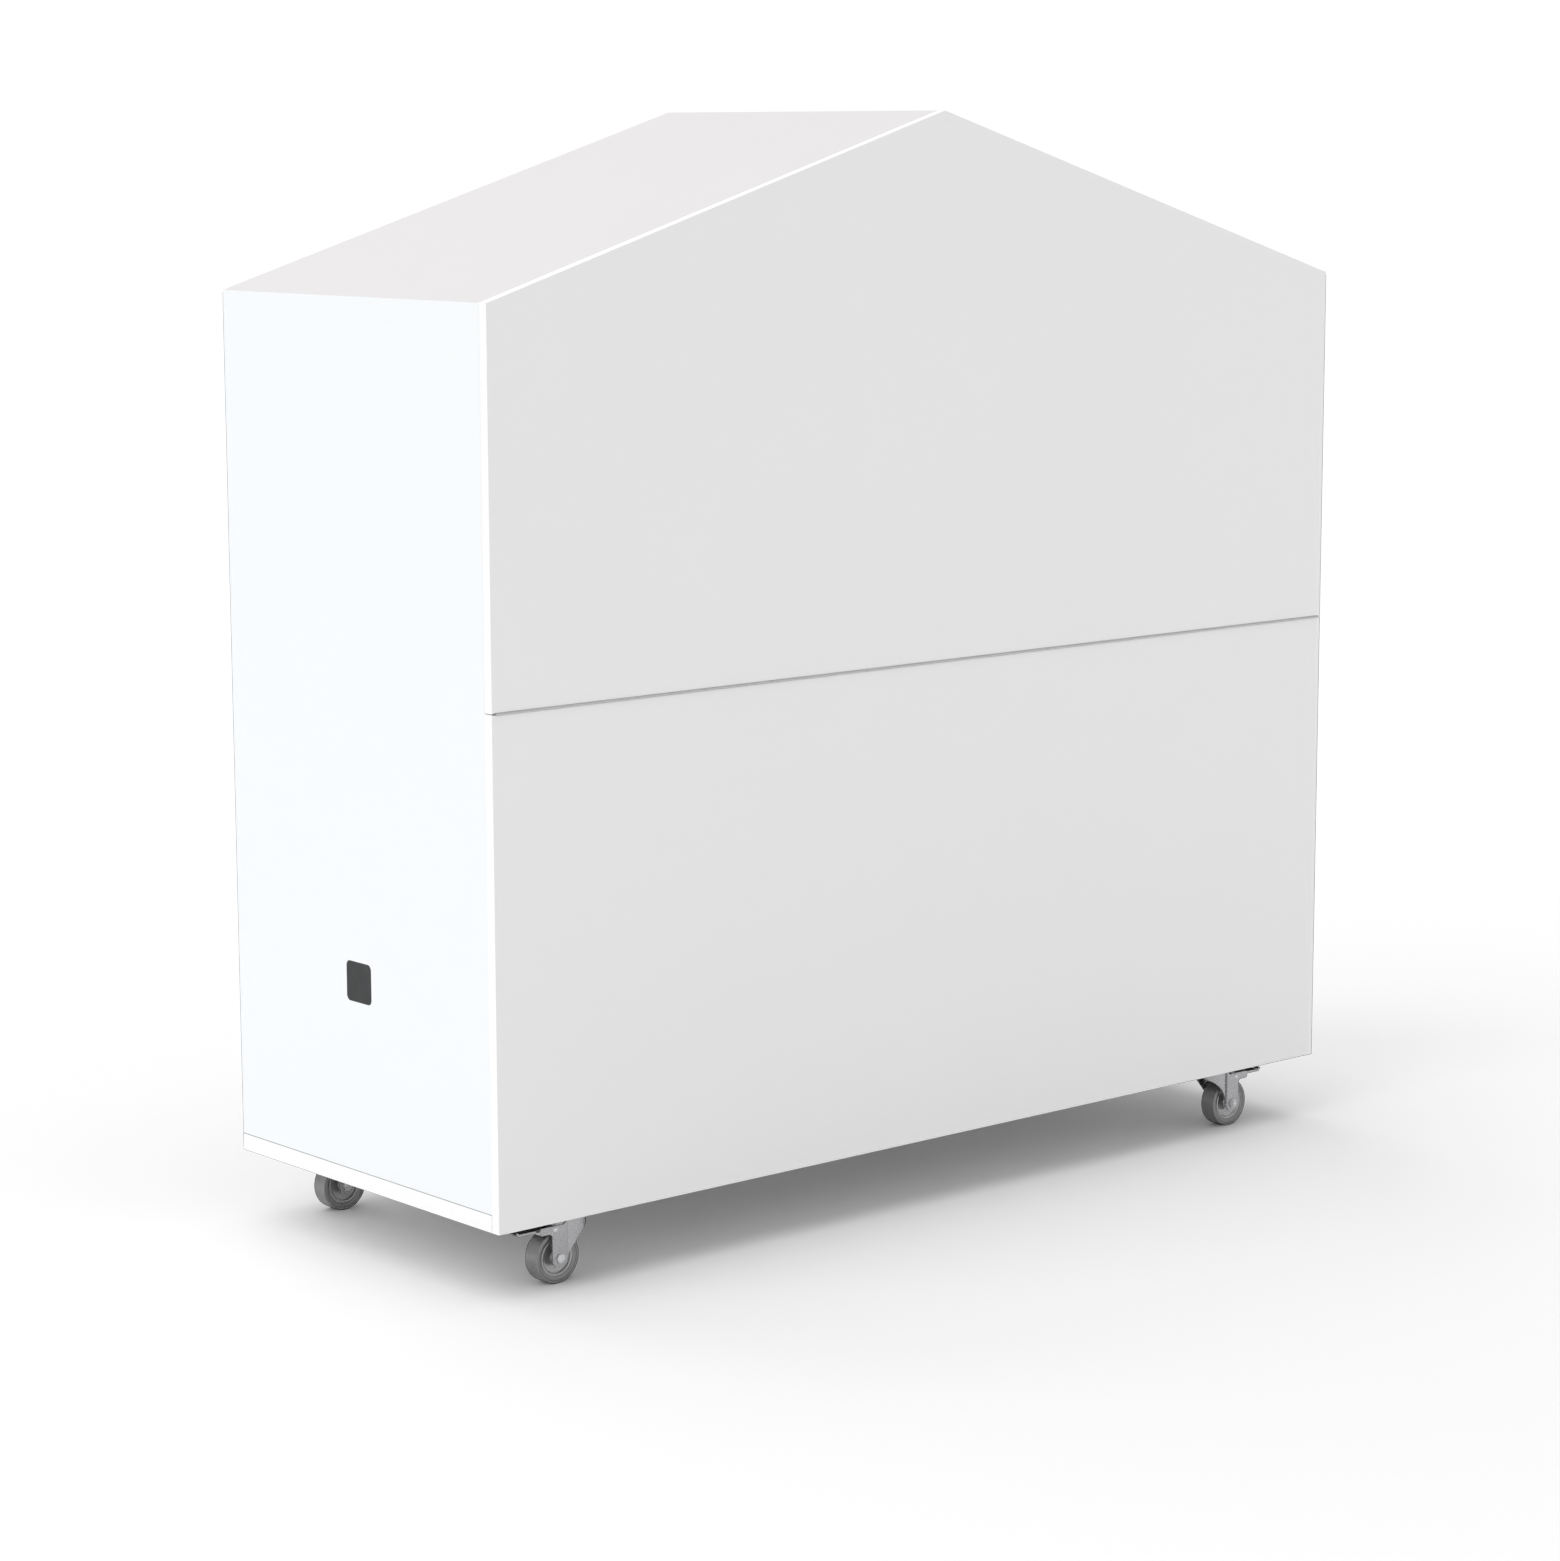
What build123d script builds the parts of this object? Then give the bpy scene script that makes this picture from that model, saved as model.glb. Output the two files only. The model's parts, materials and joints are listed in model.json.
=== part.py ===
"""A house-shaped counter cabinet on four swivel castors.

Board case with a gable roof, a fixed lower front, and an upper front that folds down on a
continuous hinge. Millimetres, +Z up, the front faces -Y. The origin is on the floor, under the
middle of the cabinet.
"""

import os
from math import atan, cos, radians, sin, sqrt

from build123d import *

os.makedirs("parts", exist_ok=True)

# ---------------------------------------------------------------- driving dimensions (mm)
body_width = 1650.0
body_depth = 630.0
eave_height = 1265.0  # above the underside of the case
ridge_height = 1516.0
seam_height = 718.0  # middle of the gap between the two front boards
board = 16.0
base_thickness = 25.0
worktop_thickness = 25.0
eased_edge = 0.6
closing_gap = 0.3  # between the closed flap and the case

knuckle_r = 1.6
hinge_pin_r = 0.9
hinge_running = 0.05
hinge_proud = 0.3  # hinge axis in front of the board faces
leaf_width = 14.0
hinge_screw_spot = 8.4  # behind the hinge axis
hinge_end_inset = 6.0
knuckle_count = 27
knuckle_gap = 0.4
knuckle_relief = 0.5  # clear space behind the other leaf's knuckles

rail_height = 80.0
shelf_side_gap = 0.5
shelf_setback = 40.0
beam_width = 40.0
beam_height = 60.0

bracket_leg = 40.0
bracket_width = 30.0
bracket_thickness = 2.0
bracket_screw_spot = 24.0  # from the corner
bracket_inset = 120.0  # from the front and the back of the case
shelf_pin_r = 2.5
shelf_pin_depth = 7.0
shelf_pin_inset = 60.0
shelf_pin_gap = 0.1

bolt_rod_r = 5.0
bolt_running = 0.05
bolt_throw = 14.0
bolt_below_eave = 90.0
guide_length = 90.0
guide_height = 30.0
guide_plate = 2.0
post_length = 16.0
post_height = 18.0
post_depth = 15.0
rod_overhang = 8.0
knob_r = 3.0
knob_reach = 16.0
knob_rounding = 1.0
keeper_thickness = 2.0
keeper_clearance = 0.5
keeper_setback = 1.0
keeper_depth = 28.0
tip_gap = 2.0
strike_depth = 13.0

badge_width = 60.0
badge_height = 58.0
badge_corner = 8.0
badge_thickness = 1.0
badge_gap = 0.1
badge_from_front = 323.0
badge_above_underside = 301.0

wheel_diameter = 75.0
castor_head = 27.0  # from the top of the wheel to the top of the castor plate
wheel_width = 27.0
swivel_offset = 30.0
wheel_from_left_end = 132.0
wheel_from_right_end = 149.0
wheel_from_face = 55.5
castor_plate_length = 95.0
castor_plate_width = 67.0
castor_plate_thickness = 2.5
castor_hole_length = 75.0
castor_hole_width = 45.0
castor_hole_r = 4.25
kingpin_r = 5.0
kingpin_head_r = 8.0
kingpin_head = 1.2
kingpin_foot_r = 9.0
kingpin_foot = 3.0
ball_r = 2.5
ball_ring_r = 16.0
ball_count = 12
ball_gap = 0.05
raceway_r = 24.5
raceway_wall = 1.7
raceway_lip_gap = 0.5
crown_r = 24.0
crown_drop = 11.0  # crown top below the underside of the case
fork_wall = 2.5
fork_side_gap = 1.5
nose_lip = 4.5  # skirt below the crown at the very front of the fork
skirt_rise = 6.0  # how far the skirt's curved edge bulges above its chord
arm_drop = 5.5  # arm top below the crown top
arm_depth = 10.5
arm_reach = 34.0  # past the axle
arm_slope = 8.0  # length over which the crown steps down to the arm
inner_corner_r = 4.0
axle_r = 4.0
axle_running = 0.05
hub_nose_r = 7.2
hub_r = 10.8
hub_root_r = 13.2
rim_lip = 2.7
rim_slope = 7.0  # from the rim's edge in to the flat of the web
hex_flats = 13.0
bolt_head = 5.0
nut_height = 6.5
bolt_end_proud = 2.0
tyre_depth = 10.5
tyre_shoulder = 2.0
seat_gap = 0.02  # between pieces pressed or moulded together
pedal_width = 28.0
pedal_wall = 2.0
pedal_reach = 102.0
pedal_pivot_r = 2.5
pedal_pivot_past_axle = 8.0
pedal_eye_wall = 2.0
pedal_nose = 4.0  # length of the raised end
rivet_head_r = 3.9
rivet_head = 1.2
shoe_gap = 3.0
shoe_near = 5.0  # from the pedal pivot
shoe_far = 15.0
web_share = 0.16  # half thickness of the wheel's web, as a share of its width
rim_share = 0.44

# ---------------------------------------------------------------- places worked out from them
half_width = body_width / 2
wall_inner = half_width - board
castor_height = wheel_diameter + castor_head
hinge_front = knuckle_r + hinge_proud
front_y = -(body_depth - hinge_front) / 2
back_y = front_y + body_depth
case_front_y = front_y + board
flap_inner_y = case_front_y - closing_gap
underside_z = castor_height
base_top_z = underside_z + base_thickness
eave_z = underside_z + eave_height
ridge_z = underside_z + ridge_height
seam_z = underside_z + seam_height
hinge_y = front_y - hinge_proud
worktop_top_z = seam_z - knuckle_r
worktop_low_z = worktop_top_z - worktop_thickness
case_depth = back_y - case_front_y

roof_slope = (ridge_z - eave_z) / half_width
roof_angle = atan(roof_slope)
roof_drop = board / cos(roof_angle)  # board thickness measured straight down
inner_eave_z = ridge_z - roof_slope * wall_inner - roof_drop
inner_ridge_z = ridge_z - roof_drop
shelf_z = (base_top_z + worktop_low_z - rail_height) / 2


def save(builder, name):
    """Label a finished piece and write it as its own STEP file."""
    builder.part.label = name
    export_step(builder.part, f"parts/{name}.step")


def depth_plane(y):
    """Upright plane at depth y, with local x along X and local y along Z."""
    return Plane.XZ.offset(-y)


def drill(seats, radius, depth):
    """Holes going down from each seat plane, cut from the piece being built."""
    with Locations(*seats):
        Cylinder(radius, depth, align=(Align.CENTER, Align.CENTER, Align.MAX), mode=Mode.SUBTRACT)


def screws(seats, head_r, head_height, shank_r, reach):
    """Round-headed screws, each with its head on a seat plane and its shank below it."""
    with BuildPart() as group:
        with Locations(*seats):
            Cylinder(head_r, head_height, align=(Align.CENTER, Align.CENTER, Align.MIN))
            Cylinder(shank_r, reach, align=(Align.CENTER, Align.CENTER, Align.MAX))
    return group


# ---------------------------------------------------------------- angle brackets and their screws
bracket_screw_head_r = 3.8
bracket_screw_head = 2.0
bracket_screw_r = 2.0
bracket_screw_reach = 14.0
bracket_hole_play = 0.25
screw_hole_play = 0.05
bracket_ys = (case_front_y + bracket_inset, back_y - bracket_inset)


class Bracket:
    """Bent plate in an inside corner: a corner point and the directions of its two legs."""

    def __init__(self, corner, leg_a, leg_b):
        self.corner = Vector(*corner)
        self.legs = (Vector(*leg_a), Vector(*leg_b))
        self.corner_angle = radians(self.legs[0].get_angle(self.legs[1]))

    def inward(self, leg, other):
        """Unit normal of one leg, on the side of the other leg."""
        return (other - leg * leg.dot(other)).normalized()

    def outline(self):
        """Corner, then round both legs, as X and Z pairs."""
        leg_a, leg_b = self.legs
        lift_a = self.inward(leg_a, leg_b) * bracket_thickness
        lift_b = self.inward(leg_b, leg_a) * bracket_thickness
        throat = (leg_a + leg_b) * (bracket_thickness / sin(self.corner_angle))
        end_a = self.corner + leg_a * bracket_leg
        end_b = self.corner + leg_b * bracket_leg
        points = (self.corner, end_a, end_a + lift_a, self.corner + throat, end_b + lift_b, end_b)
        return [(point.X, point.Y) for point in points]

    def seat(self, index, y):
        """Screw seat on one leg at depth y, its normal pointing away from the board."""
        leg = self.legs[index]
        normal = self.inward(leg, self.legs[1 - index])
        point = self.corner + leg * bracket_screw_spot + normal * bracket_thickness
        return Plane(origin=(point.X, y, point.Y), z_dir=(normal.X, 0, normal.Y))


def foot_bracket(side):
    return Bracket((side * wall_inner, base_top_z), (0, 1), (-side, 0))


def worktop_bracket(side):
    return Bracket((side * wall_inner, worktop_low_z), (0, -1), (-side, 0))


def eave_bracket(side):
    along_roof = (-side * cos(roof_angle), sin(roof_angle))
    return Bracket((side * wall_inner, inner_eave_z), (0, -1), along_roof)


def bracket_seats(kinds, sides, leg_index):
    """Seats of one leg of the given brackets, at both depths."""
    return [kind(side).seat(leg_index, y) for kind in kinds for side in sides for y in bracket_ys]


def drill_bracket_screws(seats):
    """Pilot holes in a board for the screws of the given seats."""
    drill(seats, bracket_screw_r + screw_hole_play, bracket_screw_reach + screw_hole_play)


def bracket_group(kind):
    """Four brackets of one kind, two on each side of the case."""
    with BuildPart() as group:
        for side in (-1, 1):
            planes = [depth_plane(y - bracket_width / 2) for y in bracket_ys]
            with BuildSketch(*planes):
                Polygon(*kind(side).outline(), align=None)
            extrude(amount=-bracket_width)
            hole_r = bracket_screw_r + bracket_hole_play
            drill(bracket_seats([kind], [side], 0), hole_r, bracket_thickness)
            drill(bracket_seats([kind], [side], 1), hole_r, bracket_thickness)
    return group


# ---------------------------------------------------------------- shelf pins
shelf_pin_ys = (case_front_y + shelf_pin_inset, back_y - shelf_setback - shelf_pin_inset)


def shelf_pin_seats(face_x, out_of_board):
    """Seats of shelf pins on one upright face, normals pointing out of the board."""
    z = shelf_z - shelf_pin_r - shelf_pin_gap
    return [Plane(origin=(face_x, y, z), z_dir=(out_of_board, 0, 0)) for y in shelf_pin_ys]


def drill_shelf_pins(face_x, out_of_board):
    """Blind holes for the shelf pins of one upright face."""
    seats = shelf_pin_seats(face_x, out_of_board)
    drill(seats, shelf_pin_r + screw_hole_play, shelf_pin_depth + screw_hole_play)


# ---------------------------------------------------------------- slide bolts
bolt_z = eave_z - bolt_below_eave
rod_y = flap_inner_y + guide_plate + post_depth / 2
keeper_face_x = wall_inner - keeper_thickness
guide_outer_x = keeper_face_x - tip_gap - rod_overhang
guide_centre_x = guide_outer_x - guide_length / 2
small_head_r = 2.8
small_head = 1.4
small_shank_r = 1.5
small_reach = 10.0
small_screw_spread = 10.5


def keeper_screw_seats(side):
    """Two seats on the keeper plate of one side, above and below the bolt hole."""
    return [
        Plane(origin=(side * keeper_face_x, rod_y, bolt_z + offset), z_dir=(-side, 0, 0))
        for offset in (-small_screw_spread, small_screw_spread)
    ]


def guide_screw_seats(side):
    """Four seats on the guide's base plate, between its posts."""
    return [
        Plane(
            origin=(side * guide_centre_x + along, flap_inner_y + guide_plate, bolt_z + up),
            z_dir=(0, 1, 0),
        )
        for along in (-small_screw_spread, small_screw_spread)
        for up in (-small_screw_spread, small_screw_spread)
    ]


# ---------------------------------------------------------------- end walls
def end_wall(side):
    """Upright end board, mitred to the roof board at the eave."""
    outer_x = side * half_width
    inner_x = side * wall_inner
    with BuildPart() as wall:
        with BuildSketch(depth_plane(case_front_y)):
            Polygon(
                (inner_x, base_top_z),
                (outer_x, base_top_z),
                (outer_x, eave_z),
                (inner_x, inner_eave_z),
                align=None,
            )
        extrude(amount=-case_depth)
        foot_edges = wall.edges().filter_by(Axis.Y).group_by(Axis.Z)[0]
        chamfer(foot_edges.sort_by(Axis.X)[0 if side < 0 else -1], eased_edge)
        kinds = [foot_bracket, worktop_bracket, eave_bracket]
        drill_bracket_screws(bracket_seats(kinds, [side], 0))
        drill_shelf_pins(inner_x, -side)
        strike = Plane(origin=(inner_x, rod_y, bolt_z), z_dir=(-side, 0, 0))
        drill([strike], bolt_rod_r + keeper_clearance, strike_depth)
        drill(keeper_screw_seats(side), small_shank_r + screw_hole_play, small_reach + screw_hole_play)
        if side < 0:
            badge_y = front_y + badge_from_front
            badge_z = underside_z + badge_above_underside
            badge_face = Plane(origin=(outer_x, badge_y, badge_z), x_dir=(0, -1, 0), z_dir=(-1, 0, 0))
            with BuildSketch(badge_face):
                RectangleRounded(
                    badge_width + 2 * badge_gap, badge_height + 2 * badge_gap, badge_corner + badge_gap
                )
            extrude(amount=-badge_thickness, mode=Mode.SUBTRACT)
    return wall


save(end_wall(-1), "end_wall_left")
save(end_wall(1), "end_wall_right")

# ---------------------------------------------------------------- blank plate let into the left wall
badge_seat = Plane(
    origin=(-half_width, front_y + badge_from_front, underside_z + badge_above_underside),
    x_dir=(0, -1, 0),
    z_dir=(-1, 0, 0),
)
with BuildPart() as blank_plate:
    with BuildSketch(badge_seat):
        RectangleRounded(badge_width, badge_height, badge_corner)
    extrude(amount=-badge_thickness)
save(blank_plate, "blank_plate")


# ---------------------------------------------------------------- roof
def roof_panel(side):
    """Sloping roof board, mitred at the eave and at the ridge."""
    with BuildPart() as panel:
        with BuildSketch(depth_plane(case_front_y)):
            Polygon(
                (0, inner_ridge_z),
                (0, ridge_z),
                (side * half_width, eave_z),
                (side * wall_inner, inner_eave_z),
                align=None,
            )
        extrude(amount=-case_depth)
        drill_bracket_screws(bracket_seats([eave_bracket], [side], 1))
    return panel


save(roof_panel(-1), "roof_panel_left")
save(roof_panel(1), "roof_panel_right")

# ---------------------------------------------------------------- ridge beam under the roof joint
beam_shoulder_z = inner_ridge_z - roof_slope * beam_width / 2
with BuildPart() as ridge_beam:
    with BuildSketch(depth_plane(case_front_y)):
        Polygon(
            (0, inner_ridge_z),
            (beam_width / 2, beam_shoulder_z),
            (beam_width / 2, inner_ridge_z - beam_height),
            (-beam_width / 2, inner_ridge_z - beam_height),
            (-beam_width / 2, beam_shoulder_z),
            align=None,
        )
    extrude(amount=-case_depth)
save(ridge_beam, "ridge_beam")

# ---------------------------------------------------------------- castor places
castor_ys = {"front": front_y + wheel_from_face, "rear": back_y - wheel_from_face}
kingpin_xs = {
    -1: wheel_from_left_end + swivel_offset - half_width,
    1: half_width - wheel_from_right_end - swivel_offset,
}
castor_sites = [
    (f"{row}_{'left' if side < 0 else 'right'}", side, castor_ys[row])
    for row in ("front", "rear")
    for side in (-1, 1)
]
castor_plate_low_z = underside_z - castor_plate_thickness
castor_screw_r = 3.5
castor_screw_reach = 20.0
castor_screw_head = 4.0
castor_screw_flats = 11.0
castor_screw_spots = [
    (kingpin_xs[side] + dx * castor_hole_length / 2, y + dy * castor_hole_width / 2)
    for _, side, y in castor_sites
    for dx in (-1, 1)
    for dy in (-1, 1)
]

# ---------------------------------------------------------------- base board
with BuildPart() as base_board:
    with BuildSketch(Plane.XY.offset(underside_z)):
        with Locations((0, (case_front_y + back_y) / 2)):
            Rectangle(body_width, case_depth)
    extrude(amount=base_thickness)
    top_edges = base_board.edges().filter_by(Axis.Y).group_by(Axis.Z)[-1]
    chamfer(top_edges, eased_edge)
    drill_bracket_screws(bracket_seats([foot_bracket], [-1, 1], 1))
    with Locations(*[(x, y, underside_z) for x, y in castor_screw_spots]):
        Cylinder(
            castor_screw_r + screw_hole_play,
            castor_screw_reach - castor_plate_thickness + screw_hole_play,
            align=(Align.CENTER, Align.CENTER, Align.MIN),
            mode=Mode.SUBTRACT,
        )
save(base_board, "base_board")

# ---------------------------------------------------------------- worktop, divider, shelves, rail
with BuildPart() as worktop:
    with BuildSketch(Plane.XY.offset(worktop_low_z)):
        with Locations((0, (case_front_y + back_y) / 2)):
            Rectangle(2 * wall_inner, case_depth)
    extrude(amount=worktop_thickness)
    drill_bracket_screws(bracket_seats([worktop_bracket], [-1, 1], 1))
save(worktop, "worktop")

divider_depth = case_depth - board
with BuildPart() as centre_divider:
    with BuildSketch(Plane.XY.offset(base_top_z)):
        with Locations((0, case_front_y + divider_depth / 2)):
            Rectangle(board, divider_depth)
    extrude(amount=worktop_low_z - base_top_z)
    drill_shelf_pins(board / 2, 1)
    drill_shelf_pins(-board / 2, -1)
save(centre_divider, "centre_divider")

with BuildPart() as rear_rail:
    with BuildSketch(depth_plane(back_y - board)):
        with Locations((0, worktop_low_z - rail_height / 2)):
            Rectangle(2 * wall_inner, rail_height)
    extrude(amount=-board)
save(rear_rail, "rear_rail")

bay_width = wall_inner - board / 2
shelf_depth = case_depth - shelf_setback
for side, side_name in ((-1, "left"), (1, "right")):
    with BuildPart() as shelf:
        with BuildSketch(Plane.XY.offset(shelf_z)):
            with Locations((side * (board + bay_width) / 2, case_front_y + shelf_depth / 2)):
                Rectangle(bay_width - 2 * shelf_side_gap, shelf_depth)
        extrude(amount=board)
    save(shelf, f"shelf_{side_name}")

pin_faces = [(wall_inner, -1), (-wall_inner, 1), (board / 2, 1), (-board / 2, -1)]
with BuildPart() as shelf_pins:
    for face_x, out_of_board in pin_faces:
        with Locations(*shelf_pin_seats(face_x, out_of_board)):
            Cylinder(shelf_pin_r, 2 * shelf_pin_depth)
save(shelf_pins, "shelf_pins")

# ---------------------------------------------------------------- brackets and bracket screws
save(bracket_group(foot_bracket), "foot_brackets")
save(bracket_group(worktop_bracket), "worktop_brackets")
save(bracket_group(eave_bracket), "eave_brackets")

bracket_kinds = [foot_bracket, worktop_bracket, eave_bracket]
all_bracket_seats = [
    seat for leg_index in (0, 1) for seat in bracket_seats(bracket_kinds, [-1, 1], leg_index)
]
bracket_screws = screws(
    all_bracket_seats, bracket_screw_head_r, bracket_screw_head, bracket_screw_r, bracket_screw_reach
)
save(bracket_screws, "bracket_screws")

# ---------------------------------------------------------------- continuous hinge along the seam
knuckle_bore_r = hinge_pin_r + hinge_running
leaf_thickness = knuckle_r - knuckle_bore_r
hinge_length = body_width - 2 * hinge_end_inset
knuckle_pitch = hinge_length / knuckle_count
knuckle_length = knuckle_pitch - knuckle_gap
notch_depth = knuckle_r + knuckle_relief
hinge_screw_head_r = 2.6
hinge_screw_head = 0.6
hinge_screw_r = 1.2
hinge_screw_reach = 12.0
hinge_screw_y = hinge_y + hinge_screw_spot
hinge_screw_step = 3  # knuckles between neighbouring screws


def knuckle_x(index):
    """Middle of one knuckle along the hinge."""
    return (index + 0.5) * knuckle_pitch - hinge_length / 2


def hinge_screw_seats(up):
    """Screw seats on the face of a leaf that looks into the gap; up is 1 on the flap's leaf."""
    return [
        Plane(origin=(knuckle_x(index), hinge_screw_y, seam_z + up * knuckle_bore_r), z_dir=(0, 0, -up))
        for index in range(1, knuckle_count, hinge_screw_step)
    ]


def hinge_leaf(up, first_knuckle):
    """Leaf on the edge of a front board, with every second knuckle rolled round the pin."""
    own = [knuckle_x(index) for index in range(first_knuckle, knuckle_count, 2)]
    plate_low_z = seam_z + min(up * knuckle_bore_r, up * knuckle_r)
    with BuildPart() as leaf:
        with BuildSketch(Plane.XY.offset(plate_low_z)):
            with Locations((0, hinge_y + (notch_depth + leaf_width) / 2)):
                Rectangle(hinge_length, leaf_width - notch_depth)
            with Locations(*[(x, hinge_y + notch_depth / 2) for x in own]):
                Rectangle(knuckle_length, notch_depth)
        extrude(amount=leaf_thickness)
        with BuildSketch(*[Plane.YZ.offset(x - knuckle_length / 2) for x in own]):
            with Locations((hinge_y, seam_z)):
                Circle(knuckle_r)
                Circle(knuckle_bore_r, mode=Mode.SUBTRACT)
        extrude(amount=knuckle_length)
        drill(hinge_screw_seats(up), hinge_screw_r + screw_hole_play, leaf_thickness)
    return leaf


save(hinge_leaf(-1, 0), "hinge_leaf_lower")
save(hinge_leaf(1, 1), "hinge_leaf_upper")

with BuildPart() as hinge_pin:
    with BuildSketch(Plane.YZ.offset(-hinge_length / 2)):
        with Locations((hinge_y, seam_z)):
            Circle(hinge_pin_r)
    extrude(amount=hinge_length)
save(hinge_pin, "hinge_pin")

for up, name in ((-1, "hinge_screws_lower"), (1, "hinge_screws_upper")):
    group = screws(
        hinge_screw_seats(up), hinge_screw_head_r, hinge_screw_head, hinge_screw_r, hinge_screw_reach
    )
    save(group, name)


def drill_hinge_screws(up):
    """Pilot holes for the hinge screws in the edge of a front board."""
    drill(hinge_screw_seats(up), hinge_screw_r + screw_hole_play, hinge_screw_reach + screw_hole_play)


# ---------------------------------------------------------------- front boards
with BuildPart() as lower_front_panel:
    with BuildSketch(depth_plane(front_y)):
        with Locations((0, (underside_z + worktop_top_z) / 2)):
            Rectangle(body_width, worktop_top_z - underside_z)
    extrude(amount=-board)
    seam_edges = lower_front_panel.edges().filter_by(Axis.X).group_by(Axis.Z)[-1]
    chamfer(seam_edges.sort_by(Axis.Y)[0], eased_edge)
    drill_hinge_screws(-1)
save(lower_front_panel, "lower_front_panel")

flap_low_z = seam_z + knuckle_r
flap_thickness = board - closing_gap
with BuildPart() as front_flap:
    with BuildSketch(depth_plane(front_y)):
        Polygon(
            (-half_width, flap_low_z),
            (half_width, flap_low_z),
            (half_width, eave_z),
            (0, ridge_z),
            (-half_width, eave_z),
            align=None,
        )
    extrude(amount=-flap_thickness)
    seam_edges = front_flap.edges().filter_by(Axis.X).group_by(Axis.Z)[0]
    chamfer(seam_edges.sort_by(Axis.Y)[0], eased_edge)
    drill_hinge_screws(1)
    for side in (-1, 1):
        drill(guide_screw_seats(side), small_shank_r + screw_hole_play, small_reach + screw_hole_play)
save(front_flap, "front_flap")

# ---------------------------------------------------------------- slide bolts that hold the flap shut
for side, side_name in ((-1, "left"), (1, "right")):
    centre_x = side * guide_centre_x
    post_shift = (guide_length - post_length) / 2
    with BuildPart() as bolt_guide:
        with BuildSketch(depth_plane(flap_inner_y)):
            with Locations((centre_x, bolt_z)):
                Rectangle(guide_length, guide_height)
        extrude(amount=-guide_plate)
        with BuildSketch(depth_plane(flap_inner_y + guide_plate)):
            with Locations((centre_x - post_shift, bolt_z), (centre_x + post_shift, bolt_z)):
                Rectangle(post_length, post_height)
        extrude(amount=-post_depth)
        with Locations(Plane(origin=(centre_x, rod_y, bolt_z), z_dir=(1, 0, 0))):
            Cylinder(bolt_rod_r + bolt_running, 2 * guide_length, mode=Mode.SUBTRACT)
        drill(guide_screw_seats(side), small_shank_r + bracket_hole_play, guide_plate)
    save(bolt_guide, f"bolt_guide_{side_name}")

    rod_length = guide_length + 2 * rod_overhang
    with BuildPart() as bolt_rod:
        with Locations(Plane(origin=(centre_x, rod_y, bolt_z), z_dir=(1, 0, 0))):
            Cylinder(bolt_rod_r, rod_length)
        chamfer(bolt_rod.faces().sort_by(Axis.X)[0 if side < 0 else -1].edges(), eased_edge)
        knob_x = centre_x - side * bolt_throw / 2
        with Locations(Plane(origin=(knob_x, rod_y, bolt_z), z_dir=(0, 1, 0))):
            Cylinder(knob_r, bolt_rod_r + knob_reach, align=(Align.CENTER, Align.CENTER, Align.MIN))
        knob_end = bolt_rod.faces().sort_by(Axis.Y)[-1]
        fillet(knob_end.edges(), knob_rounding)
    save(bolt_rod, f"bolt_rod_{side_name}")

guide_screws = screws(
    guide_screw_seats(-1) + guide_screw_seats(1), small_head_r, small_head, small_shank_r, small_reach
)
save(guide_screws, "bolt_guide_screws")

keeper_near_y = case_front_y + keeper_setback
with BuildPart() as bolt_keepers:
    for side in (-1, 1):
        with BuildSketch(Plane.YZ.offset(side * wall_inner)):
            with Locations((keeper_near_y + keeper_depth / 2, bolt_z)):
                Rectangle(keeper_depth, guide_height)
        extrude(amount=-side * keeper_thickness)
        hole_seat = Plane(origin=(side * keeper_face_x, rod_y, bolt_z), z_dir=(-side, 0, 0))
        drill([hole_seat], bolt_rod_r + keeper_clearance, keeper_thickness)
        drill(keeper_screw_seats(side), small_shank_r + bracket_hole_play, keeper_thickness)
save(bolt_keepers, "bolt_keepers")

keeper_screws = screws(
    keeper_screw_seats(-1) + keeper_screw_seats(1), small_head_r, small_head, small_shank_r, small_reach
)
save(keeper_screws, "bolt_keeper_screws")

# ---------------------------------------------------------------- castors: fixed pieces
crown_top_z = underside_z - crown_drop
crown_low_z = crown_top_z - fork_wall
raceway_low_z = crown_top_z + 2 * ball_r + 2 * ball_gap
wheel_r = wheel_diameter / 2

with BuildPart() as castor_screws:
    spots = [(x, y) for x, y in castor_screw_spots]
    with BuildSketch(Plane.XY.offset(castor_plate_low_z - castor_screw_head)):
        with Locations(*spots):
            RegularPolygon(castor_screw_flats / 2, 6, major_radius=False)
    extrude(amount=castor_screw_head)
    with BuildSketch(Plane.XY.offset(castor_plate_low_z)):
        with Locations(*spots):
            Circle(castor_screw_r)
    extrude(amount=castor_screw_reach)
save(castor_screws, "castor_screws")

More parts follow.
